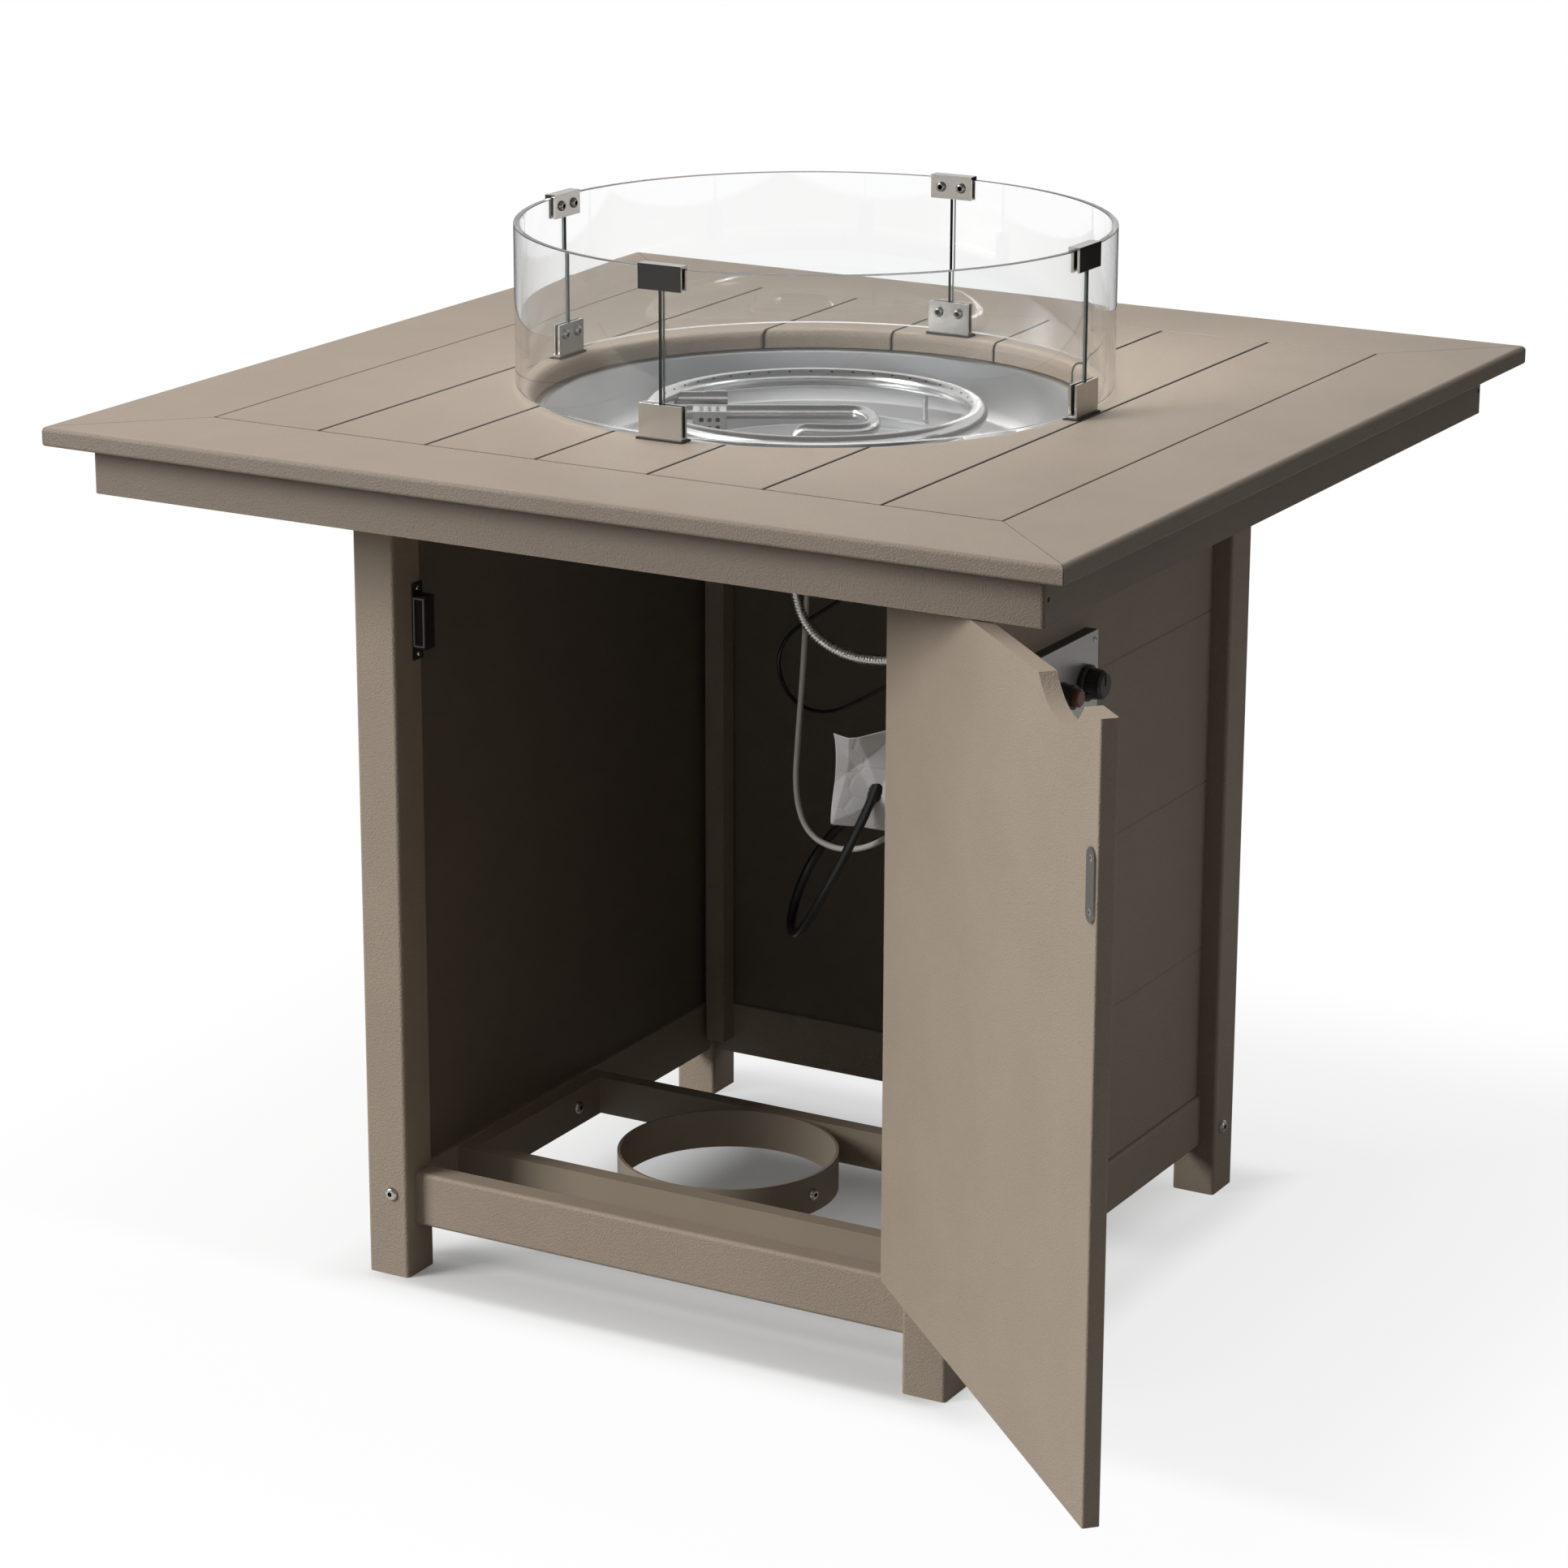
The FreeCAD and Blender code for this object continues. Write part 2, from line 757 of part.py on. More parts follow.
def bent_tube(points, radius, bends):
    """A tube through points, with a stated bend radius at each inner point."""
    edges = []
    start = points[0]
    for before, corner, after, bend in zip(points[:-2], points[1:-1], points[2:], bends):
        inward = (corner - before).normalize()
        onward = (after - corner).normalize()
        half = inward.getAngle(onward) / 2
        back = bend * math.tan(half)
        first = corner - inward * back
        last = corner + onward * back
        middle = corner + (onward - inward).normalize() * (bend / math.cos(half) - bend)
        edges.append(Part.makeLine(start, first))
        edges.append(Part.Arc(first, middle, last).toShape())
        start = last
    edges.append(Part.makeLine(start, points[-1]))
    path = Part.Wire(edges)
    ring = Part.Wire(Part.makeCircle(radius, points[0], points[1] - points[0]))
    return path.makePipeShell([ring], True, False)


def feed_tube():
    """The tube that crosses inside the ring, turns back and drops through the pan."""
    z = feed_height
    points = [
        on_burner(-burner_radius + burner_tube_radius, feed_half_gap, z),
        on_burner(feed_reach, feed_half_gap, z),
        on_burner(feed_reach, -feed_half_gap, z),
        on_burner(feed_inlet, -feed_half_gap, z),
        on_burner(feed_inlet, -feed_half_gap, feed_end_height),
    ]
    tube = bent_tube(points, feed_radius, (feed_bend, feed_bend, feed_drop_bend))
    nut = hexagon(feed_nut_across, feed_nut_high)
    nut.translate(points[-1])
    tube = tube.fuse(nut).removeSplitter()
    return tube.cut(burner_torus(seat_clear))


def pilot_tube():
    """A short open tube on the ring's inner side, with a sleeve over its end."""
    start = on_burner(-burner_radius + burner_tube_radius, pilot_line, pilot_height)
    end = on_burner(pilot_end, pilot_line, pilot_height)
    along = (end - start).normalize()
    tube = rod(start, along, pilot_radius, (end - start).Length).cut(burner_torus(seat_clear))
    tube = tube.cut(rod(end - along * pilot_bore_deep, along, pilot_bore, pilot_bore_deep + 1))
    sleeve = rod(end - along * sleeve_long, along, pilot_radius + sleeve_wall, sleeve_long)
    sleeve = sleeve.cut(rod(end - along * (sleeve_long + 1), along, pilot_radius, sleeve_long + 2))
    return tube, sleeve


def pilot_cage():
    """A perforated sheet box over the pilot, open below, and the two electrodes in it."""
    u, v = cage_u, cage_v
    case = block(u, v, (bowl_floor, cage_top))
    inner_u = (u[0] + cage_sheet, u[1] - cage_sheet)
    inner_v = (v[0] + cage_sheet, v[1] - cage_sheet)
    case = case.cut(block(inner_u, inner_v, (bowl_floor - 1, cage_top - cage_sheet)))
    holes = []
    middle_u = sum(u) / 2
    middle_v = sum(v) / 2
    hole = hexagon(cage_hole_across, cage_sheet + 2)
    for column in (-1, 0, 1):
        along = middle_u + column * cage_hole_pitch
        for row in (1, 2, 3, 4):
            place = (along, v[0] + cage_sheet + 1, cage_top - row * cage_hole_pitch)
            holes.append(laid(hole, place, (0, -1, 0)))
        for line in (-1, 0, 1):
            place = (along, middle_v + line * cage_hole_pitch, cage_top - cage_sheet - 1)
            holes.append(laid(hole, place, (0, 0, 1)))
    case = case.cut(holes)
    rods = []
    for offset in (-cage_hole_pitch, cage_hole_pitch):
        place = (middle_u + offset, middle_v, bowl_floor)
        rods.append(rod(place, (0, 0, 1), electrode_radius, electrode_top - bowl_floor))
    return [swung(shape, burner_turn) for shape in [case] + rods]


def burner():
    save("burner_pan", burner_pan())
    save("burner_ring", burner_ring())
    save("feed_tube", feed_tube())
    save("pilot_tube", *pilot_tube())
    save("pilot_cage", *pilot_cage())


# Control panel


def control_panel():
    """A shallow housing over a window in the right wall, and the plate on its face."""
    y = (panel_right - panel_wide, panel_right)
    z = (panel_foot, panel_foot + panel_high)
    face = wall_out + panel_deep
    housing = block((wall_out, face), y, z)
    hollow_y = (y[0] + panel_wall, y[1] - panel_wall)
    hollow_z = (z[0] + panel_wall, z[1] - panel_wall)
    housing = housing.cut(block((wall_out - 1, face - panel_wall), hollow_y, hollow_z))
    plate = block((face, plate_face), y, z)
    through = 2 * panel_deep
    stem_hole = stem_radius + stem_hole_clear
    barrel_hole = igniter_barrel_radius + igniter_hole_clear
    holes = [
        rod((wall_out, knob_y, control_height), (1, 0, 0), stem_hole, through),
        rod((wall_out, igniter_y, control_height), (1, 0, 0), barrel_hole, through),
    ]
    save("control_housing", housing.cut(holes))
    save("control_plate", plate.cut(holes))


def gas_valve():
    """A cast body behind the panel, with a stem through it and three ports into the cabinet."""
    seat = wall_out + panel_deep - panel_wall
    body_x = (seat - valve_neck_long - valve_deep, seat - valve_neck_long)
    body = block(
        body_x,
        (knob_y - valve_wide / 2, knob_y + valve_wide / 2),
        (control_height - valve_high / 2, control_height + valve_high / 2),
    )
    body = rounded(body, valve_round, 0, lambda c: True)
    stem_end = plate_face + knob_stand_off + knob_bore_deep - 2
    body = body.fuse(
        [
            rod((body_x[1], knob_y, control_height), (1, 0, 0), valve_neck_radius, valve_neck_long),
            rod((body_x[1], knob_y, control_height), (1, 0, 0), stem_radius, stem_end - body_x[1]),
            rod((body_x[0], knob_y, control_height + outlet_rise), (-1, 0, 0), outlet_radius, nipple_long),
            rod((body_x[0], knob_y, control_height - inlet_drop), (-1, 0, 0), inlet_radius, nipple_long),
            rod(
                (body_x[0], knob_y + sensor_port_shift, control_height),
                (-1, 0, 0),
                sensor_port_radius,
                nipple_long,
            ),
        ]
    ).removeSplitter()
    save("gas_valve", body)


def gas_knob():
    """A fluted knob on the valve stem, with a raised pointer across its face."""
    grip_start = knob_skirt
    profile = [
        (0, 0),
        (knob_radius, 0),
        (knob_radius, knob_skirt - 1),
        (knob_radius - 1, grip_start),
        (knob_grip_radius, grip_start),
        (knob_tip_radius, knob_long - knob_edge_round),
        (knob_tip_radius - knob_edge_round, knob_long),
        (0, knob_long),
    ]
    knob = turned(profile)
    cuts = []
    for index in range(flute_count):
        angle = 2 * math.pi * (index + 0.5) / flute_count
        reach = knob_grip_radius + flute_radius * 0.4
        place = (reach * math.cos(angle), reach * math.sin(angle), grip_start)
        cuts.append(rod(place, (0, 0, 1), flute_radius, knob_long))
    cuts.append(rod((0, 0, -1), (0, 0, 1), stem_radius + stem_fit, knob_bore_deep + 1))
    knob = knob.cut(cuts)
    half = pointer_wide / 2
    reach = knob_tip_radius - knob_edge_round
    pointer = block((-reach, 0), (-half, half), (knob_long - 1, knob_long + pointer_high))
    knob = knob.fuse(pointer).removeSplitter()
    save("gas_knob", laid(knob, (plate_face + knob_stand_off, knob_y, control_height), (1, 0, 0)))


def igniter():
    """A push-button igniter: a barrel through the panel, a nut behind it and a sprung button."""
    face = plate_face
    back = wall_out + panel_deep - panel_wall
    shape = rod((back - igniter_inner_long, 0, 0), (1, 0, 0), igniter_barrel_radius,
                face - back + igniter_inner_long)
    nut = hexagon(igniter_nut_across, igniter_nut_thick)
    nut = laid(nut, (back - igniter_nut_thick, 0, 0), (1, 0, 0))
    bezel = rod((face, 0, 0), (1, 0, 0), bezel_radius, bezel_thick)
    collar = rod((face + bezel_thick, 0, 0), (1, 0, 0), collar_radius, collar_long)
    shape = shape.fuse([nut, bezel, collar]).removeSplitter()
    mouth = face + bezel_thick + collar_long
    tip = mouth + button_proud
    well = mouth - (button_long - button_proud) - button_travel - 1
    shape = shape.cut(rod((well, 0, 0), (1, 0, 0), button_radius + button_fit, mouth - well + 1))
    shape.translate(V(0, igniter_y, control_height))
    save("igniter_body", shape)
    profile = [
        (0, 0),
        (button_radius, 0),
        (button_radius, button_long - button_round),
        (button_radius - button_round, button_long),
        (0, button_long),
    ]
    save("igniter_button", laid(turned(profile), (tip - button_long, igniter_y, control_height), (1, 0, 0)))


# Hoses and leads


def route_edges(route):
    """Straight runs joined by tangent arcs, each as large as its two runs allow."""
    points = [V(*point) for point in route]
    edges = []
    radii = []
    start = points[0]
    for before, corner, after in zip(points[:-2], points[1:-1], points[2:]):
        inward = corner - before
        onward = after - corner
        back = 0.45 * min(inward.Length, onward.Length)
        half = inward.getAngle(onward) / 2
        inward.normalize()
        onward.normalize()
        radius = back / math.tan(half)
        middle = corner + (onward - inward).normalize() * (radius / math.cos(half) - radius)
        first = corner - inward * back
        last = corner + onward * back
        edges.append(Part.makeLine(start, first))
        edges.append(Part.Arc(first, middle, last).toShape())
        radii.append(radius)
        start = last
    edges.append(Part.makeLine(start, points[-1]))
    return edges, radii


def cord(route, radius, sides):
    """A tube of a few flat sides along a route, with the section of the round one it stands for."""
    edges, radii = route_edges(route)
    stations = [0.0]
    reached = 0.0
    for straight, bend, bend_radius in zip(edges[0:-1:2], edges[1:-1:2], radii):
        reached += straight.Length
        steps = max(1, math.ceil(math.degrees(bend.Length / bend_radius) / cord_facet))
        for step in range(steps + 1):
            stations.append(reached + bend.Length * step / steps)
        reached += bend.Length
    stations.append(reached + edges[-1].Length)
    turn = 2 * math.pi / sides
    reach = radius * math.sqrt(turn / math.sin(turn))
    return ruled_tube(edges, [(distance, reach) for distance in stations], sides)


def report_cord(name, route, radius, solid):
    """Print a cord's length and bend radii, and its volume against section times length."""
    edges, radii = route_edges(route)
    length = sum(edge.Length for edge in edges)
    share = solid.Volume / (math.pi * radius * radius * length)
    bends = " ".join("%.0f" % bend for bend in radii)
    print("%s: length %.0f, volume share %.3f, bend radii %s" % (name, length, share, bends))


def flex_hose():
    """A corrugated steel hose: a ruled loft through the ribs, with plain ends and a bore."""
    edges, radii = route_edges(flex_route)
    total = sum(edge.Length for edge in edges)
    plain = 2 * flex_radius
    count = int((total - 2 * plain) / rib_pitch)
    pitch = (total - 2 * plain) / count
    stations = [(0.0, flex_radius), (plain - 1, flex_radius)]
    for index in range(count):
        foot = plain + index * pitch
        for share, radius in ((0.1, flex_root), (0.4, flex_radius), (0.6, flex_radius), (0.9, flex_root)):
            stations.append((foot + share * pitch, radius))
    stations += [(total - plain + 1, flex_radius), (total, flex_radius)]
    steps = int(total / (2 * flex_radius))
    bore = [-1.0] + [total * step / steps for step in range(1, steps)] + [total + 1.0]
    room = ruled_tube(edges, [(distance, flex_bore) for distance in bore], flex_sides)
    return ruled_tube(edges, stations, flex_sides).cut(room)


def point_on(edges, distance):
    """The point and direction at a distance along a route, carried on past its ends."""
    if distance <= 0:
        first = edges[0]
        along = first.tangentAt(first.FirstParameter)
        return first.valueAt(first.FirstParameter) + along * distance, along
    left = distance
    for edge in edges:
        if left <= edge.Length:
            at = edge.getParameterByLength(left)
            return edge.valueAt(at), edge.tangentAt(at)
        left -= edge.Length
    last = edges[-1]
    along = last.tangentAt(last.LastParameter)
    return last.valueAt(last.LastParameter) + along * left, along


def ruled_tube(edges, stations, sides):
    """A ruled loft through one ring at each distance and radius; the rings don't twist."""
    rings = []
    side = V(0, 1, 0)
    for distance, radius in stations:
        centre, along = point_on(edges, distance)
        side = (side - along * side.dot(along)).normalize()
        other = along.cross(side)
        corners = []
        for step in range(sides):
            angle = 2 * math.pi * (step + 0.5) / sides
            corners.append(centre + side * (radius * math.cos(angle)) + other * (radius * math.sin(angle)))
        rings.append(Part.makePolygon(corners + [corners[0]]))
    return Part.makeLoft(rings, True, True)


def tag(hose_room):
    """A blank paper tag with a slot that the supply hose passes through."""
    corners = [V(*corner) for corner in tag_corners]
    middle = (corners[0] + corners[1] + corners[2] + corners[3]) * 0.25
    normal = (corners[1] - corners[3]).cross(corners[0] - corners[2]).normalize()
    flat = []
    for corner in corners:
        flat.append(corner - normal * (corner - middle).dot(normal))
    face = Part.Face(Part.makePolygon(flat + [flat[0]]))
    sheet = face.extrude(normal * tag_thick).cut(hose_room)
    return max(sheet.Solids, key=lambda solid: solid.Volume)


def hose_tie():
    """A cable tie round the two strands of the supply hose, square to them."""
    strands = [V(*hose_route[index]) for index in (3, 4, 12)]
    along = (strands[0] - strands[1]).normalize()
    across = strands[2] - strands[1]
    across = (across - along * across.dot(along))
    gap = across.Length
    inner = hose_radius + tie_clear
    loops = []
    for radius in (inner + tie_wall, inner):
        slab = Part.makeBox(gap, 2 * radius, tie_high, V(-gap / 2, -radius, -tie_high / 2))
        ends = []
        for side in (-1, 1):
            ends.append(rod((side * gap / 2, 0, -tie_high / 2), (0, 0, 1), radius, tie_high))
        loops.append(slab.fuse(ends).removeSplitter())
    band = loops[0].cut(loops[1])
    side = V(across)
    side.normalize()
    band.Placement = FreeCAD.Placement(
        V(*tie_at), FreeCAD.Rotation(side, along.cross(side), along, "ZXY")
    )
    return band


def regulator():
    """A round gas regulator below the hose's end, with the handwheel nut for the cylinder."""
    x, y, top = hose_route[-1]
    centre = top - regulator_barb_long - regulator_radius
    body = rod((x, y - regulator_deep / 2, centre), (0, 1, 0), regulator_radius, regulator_deep)
    lip = rod((x, y - regulator_lip / 2, centre), (0, 1, 0), regulator_radius + regulator_lip, regulator_lip)
    barb = rod((x, y, centre), (0, 0, 1), regulator_barb_radius, top - centre)
    neck_end = centre - regulator_radius - regulator_neck_long
    neck = rod((x, y, neck_end), (0, 0, 1), regulator_neck_radius, centre - neck_end)
    case = body.fuse([lip, barb, neck]).removeSplitter()
    wheel = rod((x, y, neck_end - handwheel_long), (0, 0, 1), handwheel_radius, handwheel_long)
    cuts = [rod((x, y, neck_end - handwheel_long - 1), (0, 0, 1), handwheel_bore, handwheel_bore_deep + 1)]
    for index in range(handwheel_lobes):
        angle = 2 * math.pi * index / handwheel_lobes
        reach = handwheel_radius + handwheel_lobe_radius / 2
        place = (x + reach * math.cos(angle), y + reach * math.sin(angle), neck_end - handwheel_long - 1)
        cuts.append(rod(place, (0, 0, 1), handwheel_lobe_radius, handwheel_long + 2))
    return case, wheel.cut(cuts)


def hoses():
    flex = flex_hose()
    report_cord("flex_hose", flex_route, flex_radius, flex)
    save("flex_hose", flex)
    grey = cord(grey_lead_route, grey_lead_radius, lead_sides)
    report_cord("igniter_lead", grey_lead_route, grey_lead_radius, grey)
    save("igniter_lead", grey)
    black = cord(black_lead_route, black_lead_radius, lead_sides)
    report_cord("sensor_lead", black_lead_route, black_lead_radius, black)
    save("sensor_lead", black)
    hose = cord(hose_route, hose_radius, hose_sides)
    report_cord("supply_hose", hose_route, hose_radius, hose)
    save("supply_hose", hose)
    save("hose_tag", tag(cord(hose_route, hose_radius + tag_slot_clear, hose_sides)), hose_tie())
    save("regulator", *regulator())


# Glass guard


def glass_guard():
    """Four curved panels held edge to edge by clips above and below, on rubber pads."""
    gap_angle = math.degrees(glass_gap / glass_outer)
    profile = [V(glass_inner, 0, glass_low), V(glass_outer, 0, glass_low)]
    profile += [V(glass_outer, 0, glass_top), V(glass_inner, 0, glass_top)]
    strip = Part.Face(Part.makePolygon(profile + [profile[0]]))
    panel = swung(strip.revolve(ORIGIN, UP, 90 - gap_angle), gap_angle / 2)
    save("glass_panels", *[swung(panel, 90 * turn) for turn in range(4)])

    half = clip_wide / 2
    inner_far = math.sqrt(glass_inner ** 2 - half ** 2) - clip_clear
    inner = (inner_far - clip_sheet, inner_far)
    outer_near = glass_outer + clip_clear
    outer = (outer_near, outer_near + clip_sheet)
    foot = top_height + pad_thick
    head = glass_top + 0.5 + clip_sheet
    side = (-half, half)
    pieces = []
    for low, high, web in (
        (foot, foot + foot_clip_high, (foot, foot + clip_sheet)),
        (head - head_clip_high, head, (head - clip_sheet, head)),
    ):
        outside = block(outer, side, (low, high)).fuse(block((inner[1], outer[0]), side, web))
        pieces += [outside.removeSplitter(), block(inner, side, (low, high))]
    save("clip_plates", *[swung(piece, 90 * turn) for turn in range(4) for piece in pieces])
    pad = block(
        (inner[0] - pad_margin, outer[1] + pad_margin),
        (-half - pad_margin, half + pad_margin),
        (top_height, foot),
    )
    save("clip_pads", *[swung(pad, 90 * turn) for turn in range(4)])


top()
apron()
cabinet()
door()
burner()
control_panel()
gas_valve()
gas_knob()
igniter()
hoses()
glass_guard()
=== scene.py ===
import bmesh
import bpy
import math
from mathutils import Matrix, Vector


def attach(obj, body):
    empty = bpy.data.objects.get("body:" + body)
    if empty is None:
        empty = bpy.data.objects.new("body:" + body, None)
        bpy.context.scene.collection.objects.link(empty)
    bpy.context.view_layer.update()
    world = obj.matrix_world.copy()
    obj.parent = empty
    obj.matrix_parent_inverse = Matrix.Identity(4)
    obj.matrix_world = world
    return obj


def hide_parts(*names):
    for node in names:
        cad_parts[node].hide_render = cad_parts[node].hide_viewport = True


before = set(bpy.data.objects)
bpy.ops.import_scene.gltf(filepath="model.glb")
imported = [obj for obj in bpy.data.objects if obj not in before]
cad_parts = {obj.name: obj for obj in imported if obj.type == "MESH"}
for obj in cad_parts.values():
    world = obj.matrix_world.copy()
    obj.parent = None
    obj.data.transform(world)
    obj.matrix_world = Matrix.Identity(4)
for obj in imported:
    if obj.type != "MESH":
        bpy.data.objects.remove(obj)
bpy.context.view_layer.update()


# Camera. It stands where the photograph was taken from, to the right of the door and a little
# above the top, with a long lens.

camera = bpy.data.objects.new("camera", bpy.data.cameras.new("camera"))
bpy.context.collection.objects.link(camera)
camera.location = (2.1848, -3.9301, 1.8282)
camera.rotation_euler = [math.radians(turn) for turn in (73.2524, -0.1636, 29.4925)]
camera.data.sensor_width = 36.0
camera.data.lens = 107.33
bpy.context.scene.camera = camera


# Supply hose. Black rubber gas hose from the valve's inlet to the regulator, looped back on
# itself under the burner and tied where its two strands meet.


def new_material(name):
    """A material, its node tree and its shader."""
    material = bpy.data.materials.new(name)
    material.use_nodes = True
    return material, material.node_tree, material.node_tree.nodes["Principled BSDF"]


def feed(tree, socket, value):
    """Link another socket to this one, or set it to a plain value."""
    if isinstance(value, bpy.types.NodeSocket):
        tree.links.new(value, socket)
    else:
        socket.default_value = value


def reckon(tree, operation, *values):
    """The result of a maths node, from sockets and plain numbers."""
    node = tree.nodes.new("ShaderNodeMath")
    node.operation = operation
    for socket, value in zip(node.inputs, values):
        feed(tree, socket, value)
    return node.outputs["Value"]


def rescale(tree, value, start, end, low=0.0, high=1.0, kind="LINEAR"):
    """A number carried over from the range start to end to the range low to high."""
    node = tree.nodes.new("ShaderNodeMapRange")
    node.interpolation_type = kind
    ends = {"Value": value, "From Min": start, "From Max": end, "To Min": low, "To Max": high}
    for label, number in ends.items():
        feed(tree, node.inputs[label], number)
    return node.outputs["Result"]


def dimmed(tree, colour, factor):
    """A colour made darker or lighter by a factor."""
    node = tree.nodes.new("ShaderNodeVectorMath")
    node.operation = "SCALE"
    feed(tree, node.inputs[0], colour)
    feed(tree, node.inputs["Scale"], factor)
    return node.outputs["Vector"]


def drift_noise(tree, place, size, detail=2.0):
    """Soft noise over a place, from 0 to 1."""
    node = tree.nodes.new("ShaderNodeTexNoise")
    for label, value in {"Vector": place, "Scale": size, "Detail": detail}.items():
        feed(tree, node.inputs[label], value)
    return node.outputs["Fac"]


def object_place(tree):
    """The place on the object, in metres."""
    return tree.nodes.new("ShaderNodeTexCoord").outputs["Object"]


def raise_skin(tree, shader, height, depth, strength):
    """Give a shader small bumps of a depth in metres."""
    bump = tree.nodes.new("ShaderNodeBump")
    for label, value in {"Height": height, "Distance": depth, "Strength": strength}.items():
        feed(tree, bump.inputs[label], value)
    feed(tree, shader.inputs["Normal"], bump.outputs["Normal"])


def new_group(name, inputs, outputs):
    """An empty shader group with named sockets, and its two end nodes."""
    group = bpy.data.node_groups.new(name, "ShaderNodeTree")
    for label, kind, value in inputs:
        socket = group.interface.new_socket(label, in_out="INPUT", socket_type=kind)
        if value is not None:
            socket.default_value = value
    for label, kind in outputs:
        group.interface.new_socket(label, in_out="OUTPUT", socket_type=kind)
    return group, group.nodes.new("NodeGroupInput"), group.nodes.new("NodeGroupOutput")


def uneven_tone_group():
    """A colour that drifts a little lighter and darker over the surface."""
    group, start, end = new_group(
        "uneven_tone",
        [
            ("Vector", "NodeSocketVector", None),
            ("Colour", "NodeSocketColor", (0.5, 0.5, 0.5, 1)),
            ("Size", "NodeSocketFloat", 8.0),
            ("Amount", "NodeSocketFloat", 0.05),
        ],
        [("Colour", "NodeSocketColor"), ("Mask", "NodeSocketFloat")],
    )
    mask = drift_noise(group, start.outputs["Vector"], start.outputs["Size"], 4.0)
    swing = rescale(group, mask, 0.3, 0.7, -1.0, 1.0)
    factor = reckon(group, "MULTIPLY_ADD", swing, start.outputs["Amount"], 1.0)
    feed(group, end.inputs["Colour"], dimmed(group, start.outputs["Colour"], factor))
    feed(group, end.inputs["Mask"], mask)
    return group


def pebbled_skin_group():
    """The small rounded bumps of a moulded or powder coated skin."""
    group, start, end = new_group(
        "pebbled_skin",
        [("Vector", "NodeSocketVector", None), ("Size", "NodeSocketFloat", 900.0)],
        [("Height", "NodeSocketFloat")],
    )
    cells = group.nodes.new("ShaderNodeTexVoronoi")
    cells.feature = "SMOOTH_F1"
    feed(group, cells.inputs["Vector"], start.outputs["Vector"])
    feed(group, cells.inputs["Scale"], start.outputs["Size"])
    grain = drift_noise(group, start.outputs["Vector"], start.outputs["Size"])
    feed(group, end.inputs["Height"], reckon(group, "SUBTRACT", grain, cells.outputs["Distance"]))
    return group


uneven_tone = uneven_tone_group()
pebbled_skin = pebbled_skin_group()


def add_group(tree, group, values):
    """Place a shared group in a material, with its own values."""
    node = tree.nodes.new("ShaderNodeGroup")
    node.node_tree = group
    for label, value in values.items():
        feed(tree, node.inputs[label], value)
    return node


def paint(tree, shader, place, colour, size, drift):
    """Give a shader a colour that drifts a little over the object."""
    values = {"Vector": place, "Colour": (*colour, 1), "Size": size, "Amount": drift}
    tone = add_group(tree, uneven_tone, values)
    feed(tree, shader.inputs["Base Color"], tone.outputs["Colour"])
    return tone


def moulded(name, colour, roughness, size, depth, drift=0.05, gloss=0.5):
    """A skinned material: a drifting colour over small bumps."""
    material, tree, shader = new_material(name)
    place = object_place(tree)
    paint(tree, shader, place, colour, 9.0, drift)
    skin = add_group(tree, pebbled_skin, {"Vector": place, "Size": size})
    raise_skin(tree, shader, skin.outputs["Height"], depth, 0.6)
    shader.inputs["Roughness"].default_value = roughness
    shader.inputs["Specular IOR Level"].default_value = gloss
    return material


def finish_piece(obj, body):
    """Link a new piece and let it ride on its body."""
    if obj.name not in bpy.context.collection.objects:
        bpy.context.collection.objects.link(obj)
    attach(obj, body)
    return obj


def route(name, points, radius):
    """A cord's smooth line through its own control points, as thick as the cord."""
    curve = bpy.data.curves.new(name, "CURVE")
    curve.dimensions = "3D"
    spline = curve.splines.new("NURBS")
    spline.points.add(len(points) - 1)
    for place, point in zip(spline.points, points):
        place.co = (*point, 1.0)
    spline.order_u = 3
    spline.use_endpoint_u = True
    curve.resolution_u = 14
    curve.bevel_depth = radius
    curve.bevel_resolution = 6
    curve.use_fill_caps = True
    return bpy.data.objects.new(name, curve)


supply_points = [
    (0.250, -0.040, 0.618), (0.212, -0.040, 0.618), (0.158, -0.036, 0.606), (0.106, -0.026, 0.562),
    (0.084, -0.020, 0.488), (0.050, -0.018, 0.418), (0.012, -0.012, 0.352), (-0.026, 0.014, 0.304),
    (-0.060, 0.056, 0.300), (-0.056, 0.086, 0.354), (-0.014, 0.074, 0.408), (0.040, 0.036, 0.446),
    (0.084, -0.0097, 0.489), (0.106, -0.0157, 0.563), (0.126, 0.014, 0.606), (0.168, 0.052, 0.608),
    (0.200, 0.072, 0.560), (0.207, 0.076, 0.508), (0.207, 0.076, 0.462),
]
hose_rubber = moulded("hose rubber", (0.012, 0.012, 0.012), 0.34, 1500.0, 0.0001, 0.2)
supply_hose = route("rubber_hose", supply_points, 0.00475)
supply_hose.data.materials.append(hose_rubber)
finish_piece(supply_hose, "base")
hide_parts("supply_hose")


# Two leads. A grey silicone sleeve over the igniter's wire and a thin black sensor lead, both
# from holes in the bowl of the pan to the back of the control panel.

